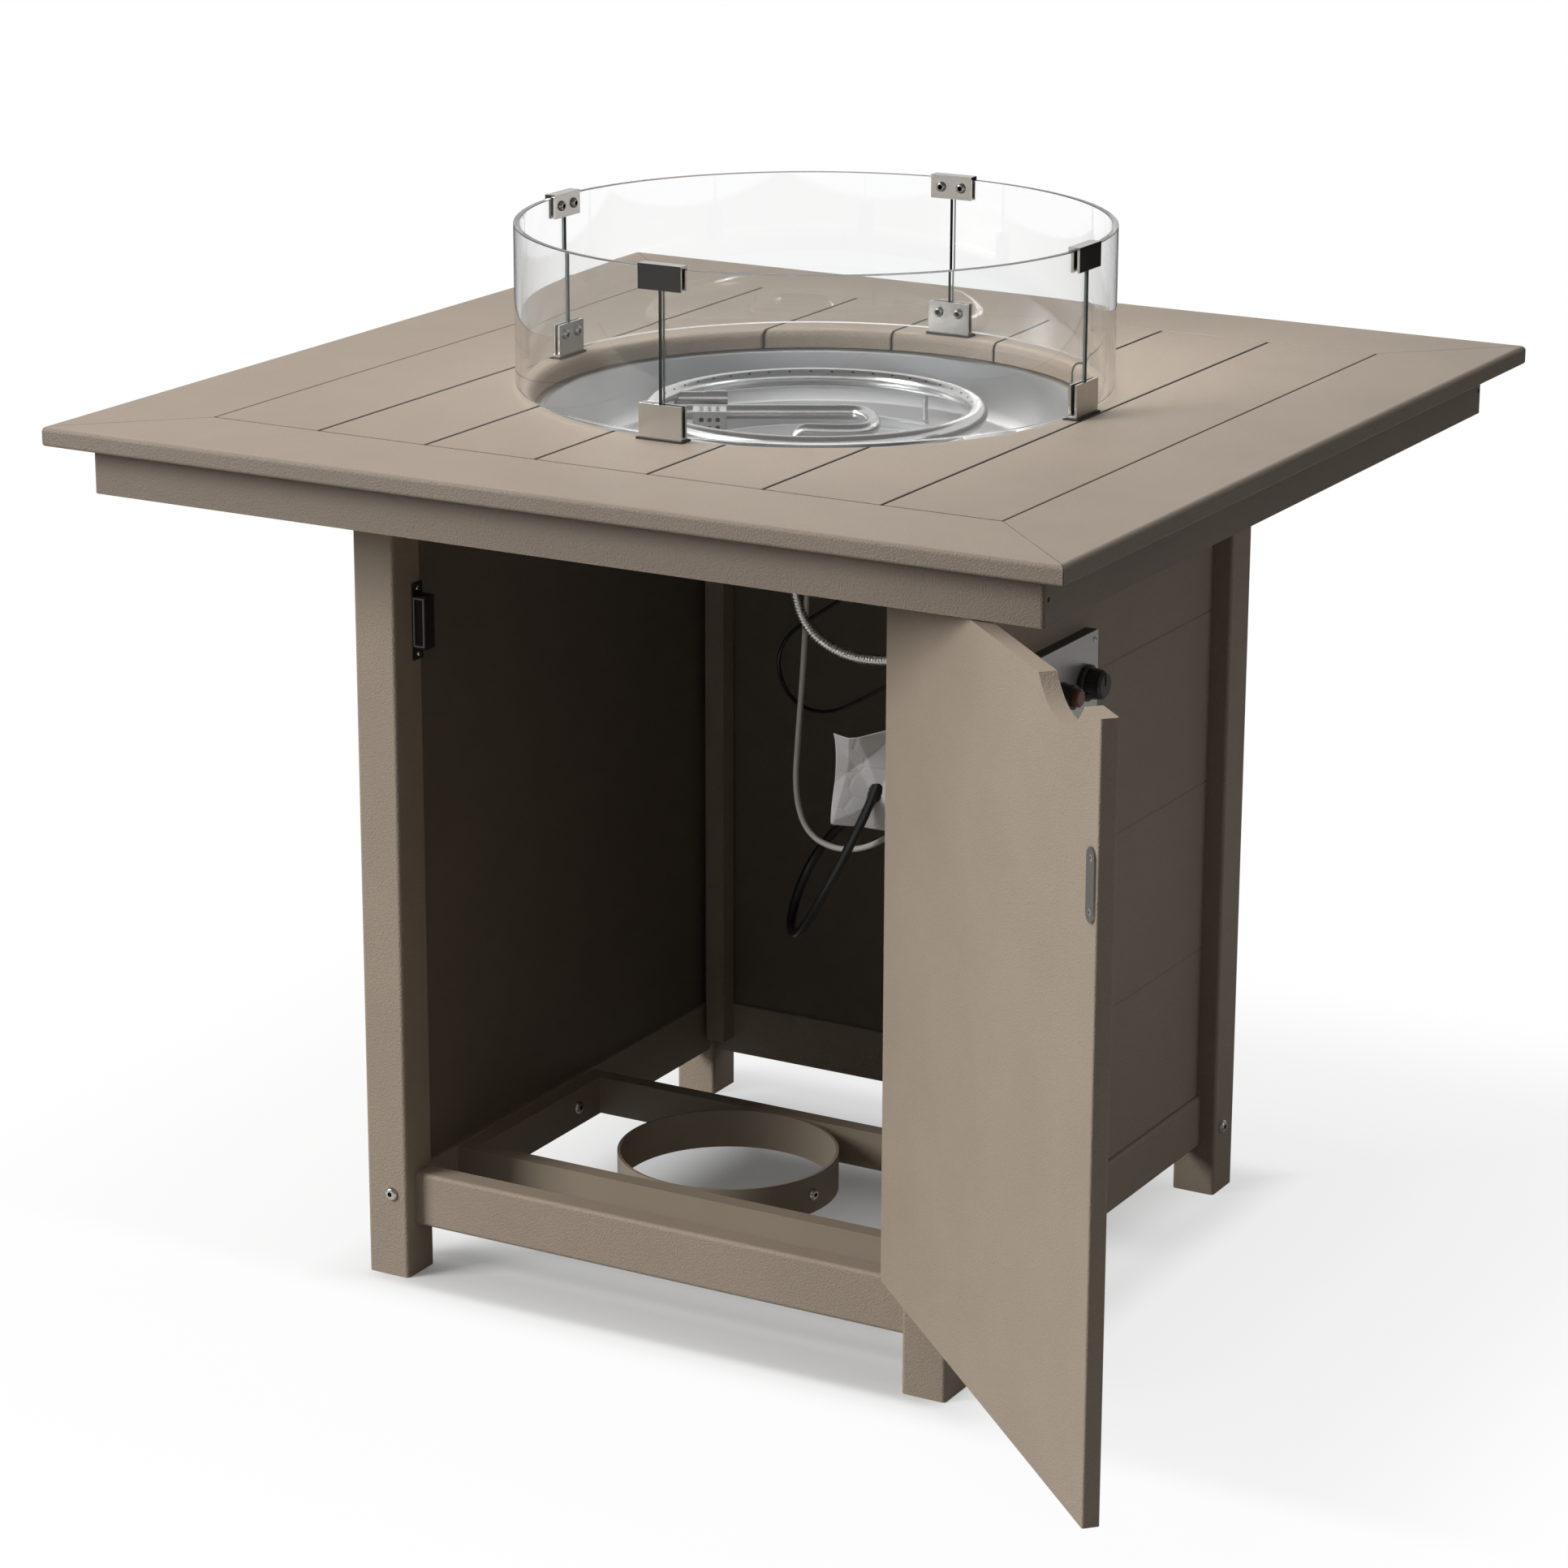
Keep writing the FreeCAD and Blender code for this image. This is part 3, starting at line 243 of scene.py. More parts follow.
grey_points = [
    (-0.014, 0.024, 0.8124), (-0.014, 0.024, 0.752), (-0.021, 0.0245, 0.680), (-0.025, 0.025, 0.600),
    (-0.031, 0.025, 0.520), (-0.035, 0.024, 0.456), (-0.020, 0.021, 0.415), (0.018, 0.017, 0.403),
    (0.064, 0.010, 0.416), (0.110, -0.004, 0.454), (0.156, -0.034, 0.516), (0.196, -0.074, 0.578),
    (0.224, -0.093, 0.635), (0.266, -0.093, 0.635),
]
grey_sleeve = moulded("grey silicone sleeve", (0.74, 0.70, 0.64), 0.5, 1100.0, 0.00008, 0.08)
igniter_lead = route("igniter_sleeve", grey_points, 0.003)
igniter_lead.data.materials.append(grey_sleeve)
finish_piece(igniter_lead, "base")
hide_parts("igniter_lead")

black_points = [
    (0.062, 0.040, 0.8124), (0.062, 0.040, 0.762), (0.046, 0.043, 0.706), (0.012, 0.052, 0.662),
    (-0.036, 0.068, 0.630), (-0.082, 0.086, 0.598), (-0.096, 0.092, 0.560), (-0.066, 0.080, 0.528),
    (-0.014, 0.057, 0.532), (0.036, 0.035, 0.560), (0.084, 0.019, 0.590), (0.134, 0.002, 0.612),
    (0.182, -0.016, 0.628), (0.218, -0.028, 0.635), (0.250, -0.028, 0.635),
]
sensor_lead = route("sensor_wire", black_points, 0.002)
sensor_lead.data.materials.append(hose_rubber)
finish_piece(sensor_lead, "base")
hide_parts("sensor_lead")


# Burner hose. Corrugated stainless hose between the burner's feed nut and the valve: ridges
# rolled into a thin wall, with a plain crimped collar at each end.


def round_off(bm, geometry, offset, segments, kind="VERTICES"):
    """Round corners or edges by an offset."""
    bmesh.ops.bevel(bm, geom=geometry, offset=offset, offset_type="OFFSET", affect=kind,
                    segments=segments, profile=0.5, material=-1)


def outline(bm, points, rounding=0.0, segments=3):
    """An open outline of (radius, height) points with its inner corners rounded."""
    verts = [bm.verts.new((reach, 0, height)) for reach, height in points]
    for first, second in zip(verts, verts[1:]):
        bm.edges.new((first, second))
    if rounding:
        round_off(bm, verts[1:-1], rounding, segments)


def spun(bm, steps):
    """Spin the outline in a bmesh once round the Z axis."""
    bmesh.ops.spin(bm, geom=bm.verts[:] + bm.edges[:], cent=(0, 0, 0), axis=(0, 0, 1),
                   angle=2 * math.pi, steps=steps, use_merge=True)
    bmesh.ops.remove_doubles(bm, verts=bm.verts, dist=1e-6)
    bmesh.ops.recalc_face_normals(bm, faces=bm.faces)


def middle_of(item):
    """Where the middle of a corner, edge or face lies."""
    spots = [item.co] if isinstance(item, bmesh.types.BMVert) else [vert.co for vert in item.verts]
    return tuple(round(value, 7) for value in sum(spots, Vector()) / len(spots))


def put_in_order(bm):
    """Number corners, edges and faces by their places, so that each run gives the same mesh."""
    for items in (bm.verts, bm.edges, bm.faces):
        ranks = {item: rank for rank, item in enumerate(sorted(items, key=middle_of))}
        items.sort(key=ranks.get)
        items.index_update()


def mesh_object(name, bm, materials, sharp=35.0):
    """An object from a bmesh, smooth but for edges sharper than an angle."""
    put_in_order(bm)
    mesh = bpy.data.meshes.new(name)
    bm.to_mesh(mesh)
    bm.free()
    for material in materials:
        mesh.materials.append(material)
    mesh.shade_smooth()
    mesh.set_sharp_from_angle(angle=math.radians(sharp))
    obj = bpy.data.objects.new(name, mesh)
    bpy.context.collection.objects.link(obj)
    level = obj.modifiers.new("level faces", "WEIGHTED_NORMAL")
    level.keep_sharp = True
    return obj


def settle(obj):
    """Apply an object's modifiers to its mesh."""
    depsgraph = bpy.context.evaluated_depsgraph_get()
    mesh = bpy.data.meshes.new_from_object(obj.evaluated_get(depsgraph))
    obj.modifiers.clear()
    obj.data = mesh
    return obj


def metal(name, colour, roughness, size, depth, drift=0.05):
    """A bare metal: a drifting tone over a fine satin grain."""
    material = moulded(name, colour, roughness, size, depth, drift)
    material.node_tree.nodes["Principled BSDF"].inputs["Metallic"].default_value = 1.0
    return material


flex_points = [
    (0.004, -0.045, 0.790), (0.004, -0.045, 0.742), (0.000, -0.0445, 0.694), (0.014, -0.043, 0.648),
    (0.056, -0.042, 0.626), (0.104, -0.041, 0.626), (0.148, -0.0403, 0.638), (0.188, -0.040, 0.6465),
    (0.220, -0.040, 0.650), (0.250, -0.040, 0.650),
]
hose_steel = metal("hose steel", (0.72, 0.70, 0.66), 0.3, 700.0, 0.00005, 0.12)
line = route("hose_line", flex_points, 0.0)
bpy.context.collection.objects.link(line)
bpy.context.view_layer.update()
line_mesh = bpy.data.meshes.new_from_object(line)
line_points = [vertex.co.copy() for vertex in line_mesh.vertices]
hose_length = sum((b - a).length for a, b in zip(line_points, line_points[1:]))
collar = 0.014
lip = 0.001
crest = 0.0054
valley = 0.0045
neck = 0.0044
rim = 0.0052
ridges = 110
pitch = (hose_length - 2 * collar) / ridges
wall = [(0.0, 0.0), (rim, 0.0), (crest, lip), (crest, collar - lip), (neck, collar)]
for ridge in range(ridges):
    foot = collar + ridge * pitch
    wall += [(valley, foot + 0.2 * pitch), (crest, foot + 0.38 * pitch),
             (crest, foot + 0.66 * pitch), (valley, foot + 0.84 * pitch)]
end = hose_length
wall += [(neck, end - collar), (crest, end - collar + lip), (crest, end - lip), (rim, end), (0.0, end)]
bm = bmesh.new()
outline(bm, wall)
spun(bm, 18)
bmesh.ops.rotate(bm, verts=bm.verts, cent=(0, 0, 0), matrix=Matrix.Rotation(math.pi / 2, 3, "Y"))
burner_hose = mesh_object("corrugated_hose", bm, [hose_steel], 60.0)
follow = burner_hose.modifiers.new("follow", "CURVE")
follow.object = line
follow.deform_axis = "POS_X"
settle(burner_hose)
bpy.data.objects.remove(line)
finish_piece(burner_hose, "base")
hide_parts("flex_hose")


# Paper tag and cable tie. The tag is thin coated paper, creased from being packed, and hangs on
# the hose by a punched hole; the tie is a nylon strap round both strands.


def new_verts(geometry):
    """The corners among the things that a mesh step made."""
    return [item for item in geometry if isinstance(item, bmesh.types.BMVert)]


paper, tree, shader = new_material("creased paper")
place = object_place(tree)
fold = tree.nodes.new("ShaderNodeTexVoronoi")
fold.feature = "DISTANCE_TO_EDGE"
fold.inputs["Scale"].default_value = 34.0
feed(tree, fold.inputs["Vector"], place)
raise_skin(tree, shader, rescale(tree, fold.outputs["Distance"], 0.0, 0.08), 0.0006, 0.5)
paint(tree, shader, place, (0.97, 0.955, 0.94), 30.0, 0.03)
shader.inputs["Roughness"].default_value = 0.62

tag_corners = [Vector(corner) for corner in (
    (0.062, -0.063, 0.559), (0.142, -0.066, 0.561), (0.108, 0.004, 0.436), (0.026, 0.002, 0.446))]
bm = bmesh.new()
bmesh.ops.create_grid(bm, x_segments=72, y_segments=96, size=0.5)
facing = (tag_corners[1] - tag_corners[3]).cross(tag_corners[0] - tag_corners[2]).normalized()
creases = [((0.45, 0.72), (-0.55, 0.83), 0.030), ((0.45, 0.72), (0.95, 0.31), -0.024),
           ((0.30, 0.55), (-0.75, -0.66), 0.026), ((0.40, 0.20), (0.35, -0.94), -0.028),
           ((0.62, 0.45), (0.85, -0.52), 0.030), ((0.12, 0.40), (-0.98, 0.20), -0.030)]
for vert in bm.verts:
    across, up = vert.co.x + 0.5, vert.co.y + 0.5
    high = tag_corners[0].lerp(tag_corners[1], across)
    low = tag_corners[3].lerp(tag_corners[2], across)
    lift = 0.002 * math.sin(5.0 * across + 7.0 * up)
    for (x, y), (along, over), slope in creases:
        lift += slope * max(0.0, (across - x) * along + (up - y) * over)
    vert.co = low.lerp(high, up) + facing * lift
hose_high, hose_low = Vector(supply_points[4]), Vector(supply_points[5])
strand = (hose_high - hose_low).normalized()
hole_radius = 0.0068
paper_thickness = 0.0004
holed = []
for face in bm.faces:
    away = face.calc_center_median() - hose_low
    if (away - strand * away.dot(strand)).length < hole_radius:
        holed.append(face)
bmesh.ops.delete(bm, geom=holed, context="FACES")
tag = mesh_object("blank_tag", bm, [paper], 70.0)
thick = tag.modifiers.new("thick", "SOLIDIFY")
thick.thickness = paper_thickness
finish_piece(settle(tag), "base")
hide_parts("hose_tag")

tie_nylon = moulded("tie nylon", (0.02, 0.02, 0.02), 0.4, 600.0, 0.00005)
strap_bend = 0.0058
strap_reach = 0.0052
strap_width = 0.004
strap_thickness = 0.0009
bm = bmesh.new()
bmesh.ops.create_circle(bm, segments=28, radius=strap_bend)
for vert in bm.verts:
    vert.co.x += math.copysign(strap_reach, vert.co.x)
made = bmesh.ops.extrude_edge_only(bm, edges=bm.edges[:])["geom"]
bmesh.ops.translate(bm, verts=new_verts(made), vec=(0, 0, strap_width))
bmesh.ops.recalc_face_normals(bm, faces=bm.faces)
bmesh.ops.solidify(bm, geom=bm.faces[:], thickness=-strap_thickness)
strand = (Vector(supply_points[3]) - Vector(supply_points[4])).normalized()
side = Vector(supply_points[12]) - Vector(supply_points[4])
side = (side - strand * side.dot(strand)).normalized()
turn = Matrix((side, strand.cross(side), strand)).transposed().to_4x4()
bmesh.ops.transform(bm, verts=bm.verts, matrix=Matrix.Translation((0.095, -0.01785, 0.5235)) @ turn)
tie = mesh_object("cable_tie", bm, [tie_nylon])
finish_piece(tie, "base")


# Floor, backdrop and lamps. A plain white floor that keeps the table's soft shadow, with painted
# shadow under the base and behind the front rail; one broad lamp high on the left of the door, one
# above and a weak one from the right.


def split(tree, place):
    """A place or a direction as its X, Y and Z."""
    node = tree.nodes.new("ShaderNodeSeparateXYZ")
    feed(tree, node.inputs["Vector"], place)
    return node.outputs


def distance(tree, place):
    """How far a place is from the middle."""
    node = tree.nodes.new("ShaderNodeVectorMath")
    node.operation = "LENGTH"
    feed(tree, node.inputs[0], place)
    return node.outputs["Value"]


def graded(tree, value, stops):
    """A number read off an eased ramp of (place, level) stops."""
    node = tree.nodes.new("ShaderNodeValToRGB")
    ramp = node.color_ramp
    ramp.interpolation = "EASE"
    for element, (place, level) in zip(ramp.elements, (stops[0], stops[-1])):
        element.position = place
        element.color = (level, level, level, 1)
    for place, level in stops[1:-1]:
        ramp.elements.new(place).color = (level, level, level, 1)
    feed(tree, node.inputs["Fac"], value)
    return node.outputs["Color"]


def blend_surface(tree, share, first, second):
    """Make a material's surface of two shaders, with a share of the second."""
    node = tree.nodes.new("ShaderNodeMixShader")
    for socket, value in zip(node.inputs, (share, first, second)):
        feed(tree, socket, value)
    feed(tree, tree.nodes["Material Output"].inputs["Surface"], node.outputs["Shader"])


def straight_view(tree):
    """The light path's outputs, and a 1 for rays from the camera or on through the glass."""
    path = tree.nodes.new("ShaderNodeLightPath").outputs
    return path, reckon(tree, "MAXIMUM", path["Is Camera Ray"], path["Is Transmission Ray"])


floor_paint, tree, shader = new_material("floor paint")
tree.nodes.remove(shader)
place = object_place(tree)
ground = split(tree, place)
aside = reckon(tree, "ABSOLUTE", ground["X"])
away = reckon(tree, "ABSOLUTE", ground["Y"])
ahead = reckon(tree, "MULTIPLY", ground["Y"], -1.0)
# The floor's own glow is lowered under the base and, between the legs, in a strip behind the front
# rail: painted shadow. In front of the rail it is raised towards white.
glow_with_painted_shadow = graded(tree, reckon(tree, "MAXIMUM", aside, away), (
    (0.13, 0.1), (0.24, 0.45), (0.33, 0.62), (0.40, 0.82), (0.62, 0.86), (1.0, 1.0)))
rail_shadow = graded(tree, ahead, (
    (0.20, 0.0), (0.26, 0.45), (0.305, 0.85), (0.328, 0.8), (0.352, 0.0)))
between_legs = rescale(tree, aside, 0.300, 0.340, 1.0, 0.0, "SMOOTHSTEP")
under = reckon(tree, "MULTIPLY", rail_shadow, between_legs)
lit = reckon(tree, "MULTIPLY", glow_with_painted_shadow, reckon(tree, "SUBTRACT", 1.0, under))
in_front = rescale(tree, ahead, 0.335, 0.40, 0.0, 0.7, "SMOOTHSTEP")
lifted = reckon(tree, "MULTIPLY_ADD", in_front, reckon(tree, "SUBTRACT", 1.0, lit), lit)
path, straight = straight_view(tree)
share = reckon(tree, "MULTIPLY", straight, lifted)
far = rescale(tree, distance(tree, place), 2.2, 3.6, 0.85, 0.03, "SMOOTHSTEP")
bounce = reckon(tree, "MULTIPLY_ADD", path["Is Diffuse Ray"], -0.74, 1.0)
matt = tree.nodes.new("ShaderNodeBsdfDiffuse")
feed(tree, matt.inputs["Color"], reckon(tree, "MULTIPLY", far, bounce))
white = tree.nodes.new("ShaderNodeEmission")
white.inputs["Strength"].default_value = 1.0
blend_surface(tree, share, matt.outputs["BSDF"], white.outputs["Emission"])
bm = bmesh.new()
bmesh.ops.create_circle(bm, cap_ends=True, segments=96, radius=30.0)
floor = mesh_object("floor", bm, [floor_paint])

world = bpy.data.worlds.new("studio")
bpy.context.scene.world = world
world.use_nodes = True
tree = world.node_tree
path, straight = straight_view(tree)
behind = tree.nodes.new("ShaderNodeVectorMath")
behind.operation = "DOT_PRODUCT"
behind.inputs[1].default_value = (-0.47, 0.82, -0.32)
feed(tree, behind.inputs[0], tree.nodes.new("ShaderNodeTexCoord").outputs["Generated"])
backdrop = rescale(tree, behind.outputs["Value"], 0.2, 0.9, 0.2, 0.85, "SMOOTHSTEP")
mirrored = reckon(tree, "MULTIPLY", path["Is Glossy Ray"], backdrop)
soft = reckon(tree, "MAXIMUM", mirrored, 0.13)
sky = tree.nodes["Background"]
sky.inputs["Color"].default_value = (1, 1, 1, 1)
feed(tree, sky.inputs["Strength"], reckon(tree, "MAXIMUM", soft, straight))


def lamp(name, place, target, size, power):
    """A square soft box that faces a point."""
    light = bpy.data.lights.new(name, "AREA")
    light.size = size
    light.energy = power
    obj = bpy.data.objects.new(name, light)
    bpy.context.collection.objects.link(obj)
    obj.location = place
    obj.rotation_euler = (Vector(place) - Vector(target)).to_track_quat("Z", "Y").to_euler()
    return obj


lamp("key_lamp", (-3.9, -4.4, 3.1), (0.0, 0.0, 0.5), 2.4, 285.0)
lamp("side_lamp", (4.4, 1.4, 1.5), (0.0, 0.0, 0.4), 2.0, 13.0)
top_lamp = lamp("top_lamp", (-1.0, -0.6, 4.6), (0.0, 0.0, 0.8), 4.5, 120.0)
top_lamp.visible_glossy = False
bpy.context.scene.view_settings.view_transform = "Standard"


# Lumber. The top, apron, legs, rails, walls and door are solid boards of moulded lumber with a
# fine pebbled skin, sawn and rounded at their edges. The boards of the base are a touch deeper.
# The upright faces of the top and apron carry painted shade, the plank seams dust and painted shade,
# and the inner faces of the walls painted shade.

planks = 7
planks_half = 0.4185
# The painted shade on the inner faces of the walls is full inside the first reach and gone beyond the
# second.
inner_shade_full_to = 0.292
inner_shade_gone_from = 0.298


def dress(names, material):
    """Give CAD nodes a finished material."""
    for name in names:
        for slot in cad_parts[name].material_slots:
            slot.material = material


def lumber(name, colour, seam_dark=0.0, edge_dark=0.0, inner_painted_shade=0.0):
    """Satin lumber: coarser pebbles and painted shade on cut edges, dust and painted shade along the
    seams, painted shade on inner faces.
    """
    material, tree, shader = new_material(name)
    coordinates = tree.nodes.new("ShaderNodeTexCoord").outputs
    place = coordinates["Object"]
    spot = split(tree, place)
    upright = reckon(tree, "ABSOLUTE", split(tree, coordinates["Normal"])["Z"])
    # Faces turned away from straight up are painted darker: painted shade. The same mask coarsens their
    # pebbles.
    edge = rescale(tree, upright, 0.99, 0.6, kind="SMOOTHSTEP")
    # Along the plank seams the colour is painted darker: dust and painted shade.
    shifted = reckon(tree, "ADD", spot["X"], planks_half)
    seam = reckon(tree, "PINGPONG", shifted, planks_half / planks)
    seam_dust_and_shade = rescale(tree, seam, 0.0008, 0.0032, seam_dark, 0.0, "SMOOTHSTEP")
    shade = reckon(tree, "MULTIPLY_ADD", edge, edge_dark, seam_dust_and_shade)
    # Inside the line of the walls the colour is painted darker: painted shade on the inner faces.
    aside = reckon(tree, "ABSOLUTE", spot["X"])
    away = reckon(tree, "ABSOLUTE", spot["Y"])
    outermost = reckon(tree, "MAXIMUM", aside, away)
    inner = rescale(tree, outermost, inner_shade_full_to, inner_shade_gone_from, 1.0 - inner_painted_shade, 1.0)
    kept = reckon(tree, "SUBTRACT", inner, shade)
    tone = paint(tree, shader, place, colour, 9.0, 0.035)
    fine = add_group(tree, uneven_tone, {
        "Vector": place, "Colour": tone.outputs["Colour"], "Size": 700.0, "Amount": 0.06})
    feed(tree, shader.inputs["Base Color"], dimmed(tree, fine.outputs["Colour"], kept))
    skin = add_group(tree, pebbled_skin, {"Vector": place, "Size": 640.0})
    rough = rescale(tree, edge, 0.0, 1.0, 0.3, 1.0)
    height = reckon(tree, "MULTIPLY", skin.outputs["Height"], rough)
    raise_skin(tree, shader, height, 0.0006, 0.7)
    shader.inputs["Roughness"].default_value = 0.55
    shader.inputs["Specular IOR Level"].default_value = 0.3
    return material


top_lumber = lumber("lumber of the top", (0.395, 0.325, 0.262), 0.0, 0.27)
plank_lumber = lumber("lumber of the planks", (0.395, 0.325, 0.262), 0.45, 0.27)
base_lumber = lumber("lumber of the base", (0.405, 0.330, 0.256))
wall_lumber = lumber("lumber of the walls", (0.405, 0.330, 0.256), 0.0, 0.0, 0.5)
sides = ("front", "right", "back", "left")
dress(["top_board_" + side for side in sides], top_lumber)
dress(["plank_%d" % (number + 1) for number in range(planks)], plank_lumber)
dress(["apron_" + side for side in sides], top_lumber)
dress(["plank_battens", "head_rails", "corner_cleats"], base_lumber)
dress(["rail_" + side for side in sides], base_lumber)
dress(["wall_left", "wall_back", "wall_right"], wall_lumber)
dress(["door_panel"], base_lumber)
dress(["leg_front_left", "leg_front_right", "leg_back_right", "leg_back_left"], base_lumber)


# Frame and shelf bolts. Stainless button heads with hexagon sockets, each pulled up against the
# face of a leg or a shelf bar.


def button_head(radius, high, socket, deep):
    """A button head on z = 0 with a hexagon socket in its crown, as a mesh."""
    bm = bmesh.new()
    bmesh.ops.create_circle(bm, segments=24, radius=radius)
    loop = bm.edges[:]
    for reach, level in ((1.0, 0.3), (0.93, 0.62), (0.78, 0.9), (0.6, 1.0)):
        made = bmesh.ops.extrude_edge_only(bm, edges=loop)["geom"]
        loop = [item for item in made if isinstance(item, bmesh.types.BMEdge)]
        for vert in new_verts(made):
            flat = Vector((vert.co.x, vert.co.y, 0)).normalized() * radius * reach
            vert.co = (flat.x, flat.y, high * level)
    known = set(bm.edges)
    bmesh.ops.create_circle(bm, segments=6, radius=socket, matrix=Matrix.Translation((0, 0, high)))
    hexagon = [edge for edge in bm.edges if edge not in known]
    bmesh.ops.bridge_loops(bm, edges=loop + hexagon)
    made = bmesh.ops.extrude_edge_only(bm, edges=hexagon)["geom"]
    foot = new_verts(made)
    bmesh.ops.translate(bm, verts=foot, vec=(0, 0, -deep))
    bmesh.ops.contextual_create(bm, geom=foot)
    # The socket's walls and floor take the second material, near-black: painted shade.
    for face in {face for vert in foot for face in vert.link_faces}:
        face.material_index = 1
    bmesh.ops.recalc_face_normals(bm, faces=bm.faces)
    mesh = bpy.data.meshes.new("head")
    bm.to_mesh(mesh)
    bm.free()
    return mesh


def copies(mesh, places):
    """One bmesh of a part repeated at (place, facing) pairs."""
    bm = bmesh.new()
    for place, facing in places:
        count = len(bm.verts)
        bm.from_mesh(mesh)
        turn = Vector(facing).to_track_quat("Z", "Y").to_matrix().to_4x4()
        bmesh.ops.transform(bm, matrix=Matrix.Translation(place) @ turn, verts=bm.verts[count:])
    return bm


bolt_steel = metal("bolt steel", (0.56, 0.54, 0.51), 0.24, 900.0, 0.00003)
# Hexagon sockets are near-black: painted shade in their recess.
socket_painted_shade = moulded("socket dark", (0.012, 0.011, 0.010), 0.6, 900.0, 0.00003)
bolt_metals = [bolt_steel, socket_painted_shade]
bolt_line = 0.298
leg_face = 0.327
front_heights = (0.088, 0.8495)
side_heights = (0.072, 0.8335)
shelf_bar_face = 0.268
heads = []
for side_x in (-1, 1):
    for side_y in (-1, 1):
        for height in front_heights:
            heads.append(((bolt_line * side_x, leg_face * side_y, height), (0, side_y, 0)))
        for height in side_heights:
            heads.append(((leg_face * side_x, bolt_line * side_y, height), (side_x, 0, 0)))
for side_x in (-1, 1):
    heads.append(((shelf_bar_face * side_x, -0.023, 0.086), (-side_x, 0, 0)))
frame_head = button_head(0.0070, 0.0040, 0.0027, 0.0024)
bolts = mesh_object("frame_bolts", copies(frame_head, heads), bolt_metals)
finish_piece(bolts, "base")


# Shelf and cylinder ring. Steel bars and a rolled steel strip, powder coated to match the lumber,
# with a bolt through the ring that is turned in against the cylinder's foot.

powder_coat = moulded("powder coat", (0.37, 0.305, 0.232), 0.42, 1200.0, 0.0002, 0.03)
dress(["shelf_cross_bars", "shelf_side_bars", "tank_ring"], powder_coat)
ring_angle = math.radians(-11)
outward = Vector((math.cos(ring_angle), math.sin(ring_angle), 0))
cylinder_middle = Vector((-0.045, -0.093, 0.086))
tank_ring_outside = 0.1125
ring_place = cylinder_middle + outward * tank_ring_outside
ring_head = button_head(0.0062, 0.0040, 0.0025, 0.0024)
ring_bolt = mesh_object("ring_bolt", copies(ring_head, [(ring_place, outward)]), bolt_metals)
finish_piece(ring_bolt, "base")


# Hinges, strike plate and catch. Two stainless butt hinges, a pressed strike plate and a moulded
# catch with a bright frame. The screws of the strike plate and of the hinges' door leaves are one
# piece, laid out at the closed door and swung open with it.

hinge_steel = metal("hinge steel", (0.58, 0.57, 0.55), 0.3, 800.0, 0.00003)
strike_steel = metal("strike steel", (0.30, 0.28, 0.26), 0.3, 800.0, 0.00003)
catch_plastic = moulded("catch plastic", (0.022, 0.020, 0.018), 0.4, 900.0, 0.0001)
dress(["hinge_frame_leaves", "hinge_door_leaves", "hinge_pins"], hinge_steel)
dress(["strike_plate"], strike_steel)
dress(["magnetic_catch"], catch_plastic)
flush_head = button_head(0.0034, 0.00008, 0.0013, 0.0009)
pin = Matrix.Translation((0.2754, -0.3196, 0))
door_open = math.radians(136)
swing = pin @ Matrix.Rotation(door_open, 4, "Z") @ pin.inverted()
catch_height = 0.674
door_screws = [((-0.2660, -0.2970, catch_height + rise), (0, 1, 0)) for rise in (-0.023, 0.023)]
frame_screws = []
leaf_middle = -0.3045
door_leaf_face = 0.2784
frame_leaf_face = 0.2786
for hinge_height in (0.2315, 0.6975):
    for rise in (-0.026, 0.0, 0.026):
        height = hinge_height + rise
        door_screws.append(((door_leaf_face, leaf_middle, height), (1, 0, 0)))
        frame_screws.append(((frame_leaf_face, leaf_middle, height), (-1, 0, 0)))
door_heads = copies(flush_head, door_screws)
bmesh.ops.transform(door_heads, matrix=swing, verts=door_heads.verts)
finish_piece(mesh_object("strike_screws", door_heads, bolt_metals), "door")
frame_heads = mesh_object("hinge_screws", copies(flush_head, frame_screws), bolt_metals)
finish_piece(frame_heads, "base")
ears = [((-0.2780, -0.2887, catch_height + rise), (1, 0, 0)) for rise in (-0.0325, 0.0325)]
catch_screws = copies(button_head(0.0030, 0.0015, 0.0012, 0.0010), ears)
finish_piece(mesh_object("catch_screws", catch_screws, bolt_metals), "base")
catch_width = 0.0125
catch_length = 0.0490
band = 0.0021
band_thickness = 0.0002
bm = bmesh.new()
bmesh.ops.create_grid(bm, x_segments=1, y_segments=1, size=0.5)
bmesh.ops.scale(bm, verts=bm.verts, vec=(catch_width, catch_length, 1))
inset = bmesh.ops.inset_region(bm, faces=bm.faces[:], thickness=band, use_boundary=True)["faces"]
bmesh.ops.delete(bm, geom=[face for face in bm.faces if face not in inset], context="FACES")
made = bmesh.ops.extrude_face_region(bm, geom=bm.faces[:])["geom"]
bmesh.ops.translate(bm, verts=new_verts(made), vec=(0, 0, band_thickness))
bmesh.ops.recalc_face_normals(bm, faces=bm.faces)
turn = Matrix.Rotation(math.pi / 2, 4, "X")
stand = Matrix.Translation((-0.27225, -0.2967, catch_height)) @ turn
bmesh.ops.transform(bm, matrix=stand, verts=bm.verts)
frame_nickel = moulded("catch frame nickel", (0.52, 0.49, 0.44), 0.32, 900.0, 0.00003, 0.05, 1.0)
finish_piece(mesh_object("catch_frame", bm, [frame_nickel]), "base")


# Burner pan. Pressed stainless with a rolled flange under the planks, a sloped wall, a flat
# trough and a shallow bowl; it is spun, so its satin lines run round it.

flange_height = 0.865
trough_height = 0.824
bowl_height = 0.814
pan_sheet = 0.0012
floor_ends = 0.820
wall_starts = 0.832


